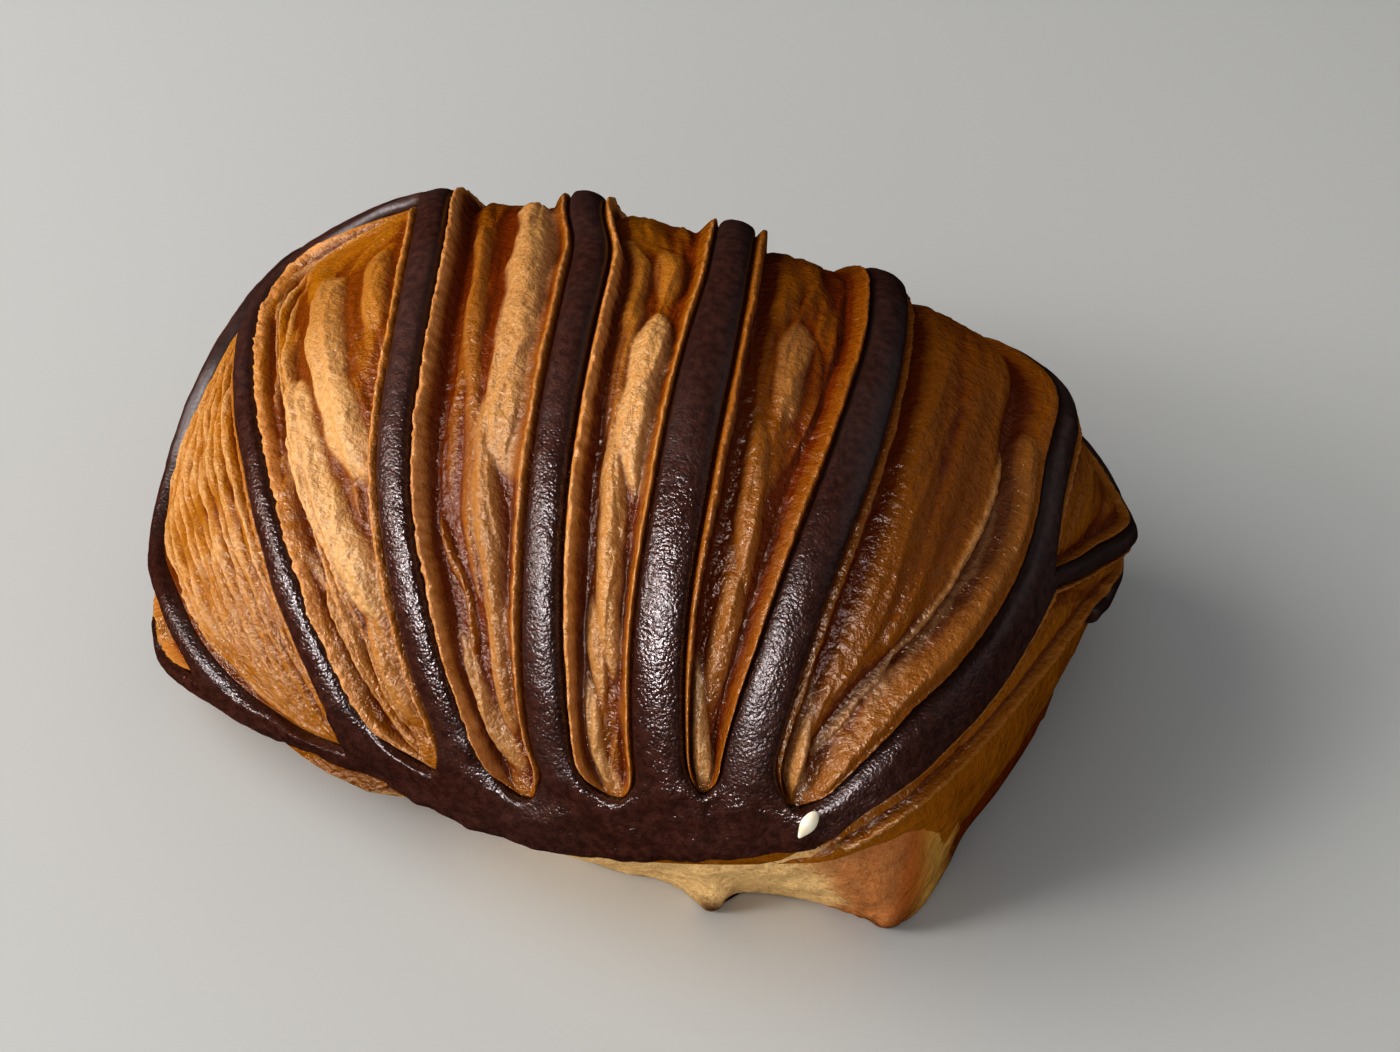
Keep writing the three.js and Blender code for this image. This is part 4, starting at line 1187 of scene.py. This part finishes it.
# %% [markdown]
# A material is a small graph of nodes. These helpers add a node, join two sockets and read a mask
# that the mesh carries on its vertices, so that each graph below reads like a recipe.

# %% Node helpers
def node(tree, kind, **settings):
    made = tree.nodes.new(kind)
    for key, value in settings.items():
        setattr(made, key, value)
    return made


def join(tree, source, target):
    tree.links.new(source, target)


def mask_of(tree, name):
    return node(tree, "ShaderNodeAttribute", attribute_name=name).outputs["Fac"]


def maths(tree, operation, *values, clamp=False):
    made = node(tree, "ShaderNodeMath", operation=operation, use_clamp=clamp)
    for socket, value in zip(made.inputs, values):
        if isinstance(value, (int, float)):
            socket.default_value = value
        else:
            join(tree, value, socket)
    return made.outputs[0]


def blend_colours(tree, amount, first, second, kind="MIX"):
    made = node(tree, "ShaderNodeMix", data_type="RGBA", blend_type=kind)
    for socket, value in ((made.inputs[0], amount), (made.inputs[6], first), (made.inputs[7], second)):
        if isinstance(value, (int, float)):
            socket.default_value = value
        elif isinstance(value, tuple):
            socket.default_value = (*value, 1.0)
        else:
            join(tree, value, socket)
    return made.outputs[2]


def speckle(tree, vector, scale, detail=2.0, roughness=0.5):
    """Noise of a number of spots a metre, about 0 to 1."""
    made = node(tree, "ShaderNodeTexNoise")
    made.inputs["Scale"].default_value = scale
    made.inputs["Detail"].default_value = detail
    made.inputs["Roughness"].default_value = roughness
    join(tree, vector, made.inputs["Vector"])
    return made.outputs["Fac"]


def between(tree, value, low, high, new_low=0.0, new_high=1.0):
    made = node(tree, "ShaderNodeMapRange", interpolation_type="SMOOTHSTEP")
    for name, number in zip(("From Min", "From Max", "To Min", "To Max"), (low, high, new_low, new_high)):
        made.inputs[name].default_value = number
    join(tree, value, made.inputs["Value"])
    return made.outputs["Result"]


print("node helpers are ready")

# %% [markdown]
# Colours are named here as a screen shows them, 0 to 255, because that is how one compares them with
# the real pastry. Shaders work in linear light, so a function turns them.

# %% Colours
def linear(v):
    return v / 12.92 if v <= 0.04045 else ((v + 0.055) / 1.055) ** 2.4


def srgb(r, g, b):
    return tuple(linear(v / 255) for v in (r, g, b))


# The pale of the crests: partly flour dust, partly painted light.
FLOUR_AND_LIGHT = srgb(222, 172, 114)
AMBER = srgb(168, 103, 14)
WELL_BAKED = srgb(114, 48, 3)
TORN_RED_AND_SHADE = srgb(102, 36, 2)
# Red of the torn flanks, partly their own colour and partly painted shade, and painted shade in layer gaps
# and beside ribs.
LIP_GOLD = srgb(222, 158, 98)
END_CREAM = srgb(254, 214, 148)
END_AMBER = srgb(170, 80, 14)
END_BROWN = srgb(110, 42, 4)
SIDE_BROWN = srgb(112, 48, 6)
CUT_STRAW = srgb(214, 164, 84)
BURNT = srgb(78, 36, 12)
COCOA_DARK = srgb(52, 25, 18)
COCOA_LIGHT = srgb(72, 39, 30)
# Darker sides and walls of the ribs: painted shade.
COCOA_SIDE_SHADE = srgb(36, 17, 11)
SEED_CREAM = srgb(244, 236, 214)
SEED_TAN = srgb(226, 206, 168)
print("amber in linear light:", [round(v, 3) for v in AMBER])

# %% [markdown]
# Baked dough is one effect used twice: on the roll with its torn floors and on the sheet's end.
# Hollows and deep parts are browner, partly where the wash gathered and partly as painted shade, and
# pale crests, partly dust and partly painted light, are broken up by tiny blisters.
# A node group makes it once: masks and three colours go in, and a colour, a roughness and a height
# for the bump come out. Noise of four sizes keeps it from looking painted.

# %% A node group for baked dough
CRUST_IN = {
    "Hollow": "NodeSocketFloat", "Deep": "NodeSocketFloat", "Bake": "NodeSocketFloat",
    "Paleness": "NodeSocketFloat", "Pale": "NodeSocketColor", "Amber": "NodeSocketColor",
    "Brown": "NodeSocketColor", "Blisters": "NodeSocketFloat",
}
CRUST_OUT = {"Color": "NodeSocketColor", "Roughness": "NodeSocketFloat", "Height": "NodeSocketFloat"}
crust = bpy.data.node_groups.new("baked_dough", "ShaderNodeTree")
for name, kind in CRUST_IN.items():
    crust.interface.new_socket(name, in_out="INPUT", socket_type=kind)
for name, kind in CRUST_OUT.items():
    crust.interface.new_socket(name, in_out="OUTPUT", socket_type=kind)
given = crust.nodes.new("NodeGroupInput").outputs
handed = crust.nodes.new("NodeGroupOutput").inputs
print("group sockets:", [s.name for s in crust.interface.items_tree])

# %% Inside the group: how brown
PATCHES = 110.0              # spots a metre
PATCH_STRENGTH = 0.8
BAKE_BROWNS = 0.55           # how much each cause adds to the browning, 0 to 1
# Depth and valleys brown as painted shade, valleys partly as wash too, and crests pale as painted light.
DEPTH_BROWNS = 0.15
VALLEY_BROWNS = 0.65
PALENESS_CLEARS = 0.6
CREST_PALES = 0.25
place = node(crust, "ShaderNodeTexCoord").outputs["Object"]
patches = speckle(crust, place, PATCHES, 3.0)
uneven = maths(crust, "MULTIPLY_ADD", patches, PATCH_STRENGTH, -PATCH_STRENGTH / 2)
level_of = maths(crust, "ADD", given["Hollow"], uneven)
crest = between(crust, level_of, 0.0, -0.8)
valley = between(crust, level_of, 0.0, 0.75)
deep = maths(crust, "MULTIPLY", given["Deep"], DEPTH_BROWNS)
browned = maths(crust, "MULTIPLY_ADD", given["Bake"], BAKE_BROWNS, deep)
clear = maths(crust, "MULTIPLY_ADD", given["Paleness"], -PALENESS_CLEARS, 1.0)
valley = maths(crust, "MULTIPLY", valley, clear)
browned = maths(crust, "MULTIPLY_ADD", valley, VALLEY_BROWNS, browned)
browned = maths(crust, "SUBTRACT", browned, maths(crust, "MULTIPLY", crest, CREST_PALES), clamp=True)
colour = blend_colours(crust, browned, given["Amber"], given["Brown"])
print("browning uses", len(crust.nodes), "nodes")

# %% Inside the group: pale crests, roughness and height
CRINKLES = 650.0             # spots a metre
BLISTERS_SCALE = 1700.0
GRAINS = 4200.0
PALE_SHARE = (0.58, 0.92)    # of a pale crest (dust and painted light) that takes the pale colour, from its pits to its blisters
GRAIN_SHADE = (0.84, 1.12)
WASH_ROUGHNESS = (0.16, 0.34)
CRINKLE_HEIGHT = 1.6         # beside blisters of height 1
GRAIN_HEIGHT = 0.30
crinkles = speckle(crust, place, CRINKLES, 2.0, 0.5)
blisters = speckle(crust, place, BLISTERS_SCALE, 3.0, 0.6)
grains = speckle(crust, place, GRAINS, 2.0, 0.6)
# Pale crests, partly dust and partly painted light.
pale_share = maths(crust, "MULTIPLY", given["Paleness"], between(crust, blisters, 0.30, 0.62, *PALE_SHARE))
colour = blend_colours(crust, pale_share, colour, given["Pale"])
shade = between(crust, grains, 0.3, 0.7, *GRAIN_SHADE)
tint = node(crust, "ShaderNodeCombineColor")
for socket in tint.inputs[:3]:
    join(crust, shade, socket)
colour = blend_colours(crust, 1.0, colour, tint.outputs[0], "MULTIPLY")
join(crust, colour, handed["Color"])
dull = maths(crust, "MULTIPLY_ADD", blisters, 0.5, pale_share)
join(crust, between(crust, dull, 0.1, 1.2, *WASH_ROUGHNESS), handed["Roughness"])
bumps = maths(crust, "MULTIPLY", blisters, given["Blisters"])
bumps = maths(crust, "MULTIPLY_ADD", grains, GRAIN_HEIGHT, bumps)
bumps = maths(crust, "MULTIPLY_ADD", crinkles, CRINKLE_HEIGHT, bumps)
join(crust, bumps, handed["Height"])
print("the whole group uses", len(crust.nodes), "nodes")

# %% [markdown]
# Egg wash makes the golden dough glossy. A clear coat on top is the usual way, but a coat keeps to the
# smooth surface and would mirror the lamps in long streaks. So the gloss is the shader's own specular,
# which follows the bump, in a warm tint. A little light scatters in the crumb below. Two masks then
# lay pale lips and deep red flanks over the group's colour.

# %% Golden crust
RED_STRENGTH = 0.88
LIP_STRENGTH = 0.85
GOLDEN_BUMP = 0.30           # mm


def shader_of(name):
    """A new material, its node tree and its Principled shader."""
    material = bpy.data.materials.new(name)
    material.use_nodes = True
    return material, material.node_tree, material.node_tree.nodes["Principled BSDF"]


def add_bump(tree, shader, height, bump_mm):
    bump = node(tree, "ShaderNodeBump")
    bump.inputs["Distance"].default_value = bump_mm * MM
    bump.inputs["Strength"].default_value = 1.0
    join(tree, height, bump.inputs["Height"])
    join(tree, bump.outputs["Normal"], shader.inputs["Normal"])


def use_crust(tree, shader, masks, colours, bump_mm):
    """The crust group in a material, with its masks and colours; gives back the colour."""
    group = node(tree, "ShaderNodeGroup", node_tree=crust)
    for name, colour in colours.items():
        group.inputs[name].default_value = (*colour, 1.0)
    group.inputs["Blisters"].default_value = 1.0
    for name, mask in masks.items():
        join(tree, mask_of(tree, mask), group.inputs[name])
    add_bump(tree, shader, group.outputs["Height"], bump_mm)
    join(tree, group.outputs["Roughness"], shader.inputs["Roughness"])
    return group.outputs["Color"]


golden, tree, shader = shader_of("golden_crust")
masks = {"Hollow": "hollow", "Deep": "deep", "Bake": "bake", "Paleness": "pillow"}
colours = {"Pale": FLOUR_AND_LIGHT, "Amber": AMBER, "Brown": WELL_BAKED}
colour = use_crust(tree, shader, masks, colours, GOLDEN_BUMP)
# The red mask: partly the torn flanks' own colour, partly painted shade.
red = maths(tree, "MULTIPLY", mask_of(tree, "flank"), RED_STRENGTH)
colour = blend_colours(tree, red, colour, TORN_RED_AND_SHADE)
lip = maths(tree, "MULTIPLY", mask_of(tree, "lip"), LIP_STRENGTH)
colour = blend_colours(tree, lip, colour, LIP_GOLD)
join(tree, colour, shader.inputs["Base Color"])
shader.inputs["Specular IOR Level"].default_value = 0.80
shader.inputs["Specular Tint"].default_value = (1.0, 0.86, 0.74, 1.0)
shader.inputs["Subsurface Weight"].default_value = 0.15
shader.inputs["Subsurface Radius"].default_value = (1.0, 0.40, 0.10)
shader.inputs["Subsurface Scale"].default_value = 1.0 * MM
for piece in (dough, *floors):
    piece.data.materials.append(golden)
print("golden crust uses", len(tree.nodes), "nodes")

# %% [markdown]
# The sheet's end had less wash, so it is drier. The same group gives it a creamy front, and three
# masks lay on the brown side, the straw-coloured cut and the burnt corners.

# %% Crust of the sheet's end
SIDE_STRENGTH = 0.85
END_BUMP = 0.25              # mm
end_crust, tree, shader = shader_of("sheet_end_crust")
masks = {"Hollow": "hollow", "Paleness": "pale", "Bake": "side"}
colours = {"Pale": END_CREAM, "Amber": END_AMBER, "Brown": END_BROWN}
colour = use_crust(tree, shader, masks, colours, END_BUMP)
side_brown = maths(tree, "MULTIPLY", mask_of(tree, "side"), SIDE_STRENGTH)
colour = blend_colours(tree, side_brown, colour, SIDE_BROWN)
colour = blend_colours(tree, mask_of(tree, "cut"), colour, CUT_STRAW)
colour = blend_colours(tree, mask_of(tree, "burnt"), colour, BURNT)
join(tree, colour, shader.inputs["Base Color"])
shader.inputs["Specular IOR Level"].default_value = 0.40
shader.inputs["Specular Tint"].default_value = (1.0, 0.90, 0.80, 1.0)
flap.data.materials.append(end_crust)
print("sheet end crust uses", len(tree.nodes), "nodes")

# %% [markdown]
# Cocoa dough bakes almost black and keeps a fine pebbled skin. The glaze on it is patchy, so the
# highlights break up into points. Noise drives the roughness and two sizes of bump. Towards the back
# the skin is smoother and duller, and a mask on the mesh says where.

# %% Cocoa crust
PEBBLES = 3000.0             # spots a metre
WAVES = 1100.0
CLOUDS = 80.0
SIDE_SHADE_STRENGTH = 0.5
GLAZE_ROUGHNESS = (0.10, 0.22)
PEBBLE_ROUGHNESS = 0.22
BACK_DULLER = 0.18
COCOA_BUMP = 0.13            # mm
BACK_BUMP = 0.25             # share of the bump that is left at the back
cocoa_crust, tree, shader = shader_of("cocoa_crust")
place = node(tree, "ShaderNodeTexCoord").outputs["Object"]
pebbles = speckle(tree, place, PEBBLES, 1.0, 0.5)
waves = speckle(tree, place, WAVES, 3.0, 0.5)
clouds = speckle(tree, place, CLOUDS, 2.0, 0.5)
front = mask_of(tree, "front")
colour = blend_colours(tree, between(tree, waves, 0.3, 0.7), COCOA_DARK, COCOA_LIGHT)
# Rib sides and walls are painted darker: painted shade.
side_shade = maths(tree, "MULTIPLY", mask_of(tree, "edge"), SIDE_SHADE_STRENGTH)
colour = blend_colours(tree, side_shade, colour, COCOA_SIDE_SHADE)
join(tree, colour, shader.inputs["Base Color"])
glaze = between(tree, clouds, 0.35, 0.65, *GLAZE_ROUGHNESS)
rough = maths(tree, "MULTIPLY_ADD", pebbles, PEBBLE_ROUGHNESS, glaze)
rough = maths(tree, "ADD", rough, BACK_DULLER)
rough = maths(tree, "SUBTRACT", rough, maths(tree, "MULTIPLY", front, BACK_DULLER))
join(tree, rough, shader.inputs["Roughness"])
bumps = maths(tree, "MULTIPLY_ADD", waves, 0.5, pebbles)
fading = maths(tree, "MULTIPLY_ADD", front, 1 - BACK_BUMP, BACK_BUMP)
add_bump(tree, shader, maths(tree, "MULTIPLY", bumps, fading), COCOA_BUMP)
shader.inputs["Specular IOR Level"].default_value = 0.85
shader.inputs["Specular Tint"].default_value = (1.0, 0.90, 0.88, 1.0)
cocoa.data.materials.append(cocoa_crust)
print("cocoa crust uses", len(tree.nodes), "nodes")

# %% Seed skin
SEED_STAINS = 700.0          # spots a metre
seed_skin, tree, shader = shader_of("seed_skin")
place = node(tree, "ShaderNodeTexCoord").outputs["Object"]
stain = between(tree, speckle(tree, place, SEED_STAINS, 2.0), 0.4, 0.8)
join(tree, blend_colours(tree, stain, SEED_CREAM, SEED_TAN), shader.inputs["Base Color"])
shader.inputs["Roughness"].default_value = 0.35
seed.data.materials.append(seed_skin)
print("materials:", golden.name, end_crust.name, cocoa_crust.name, seed_skin.name)

# %% [markdown]
# Last, every piece is set to move with the root body, and the CAD solid that it stands for is hidden.

# %% Tie the pieces to the frame
for piece, solid, slot in (
    *((piece, "pastry_body", "golden_crust") for piece in (dough, *floors, flap)),
    (cocoa, "cocoa_ribs", "cocoa_crust"),
    (seed, "cocoa_ribs", "cocoa_crust"),
):
    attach(piece, "root")
    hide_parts(solid)
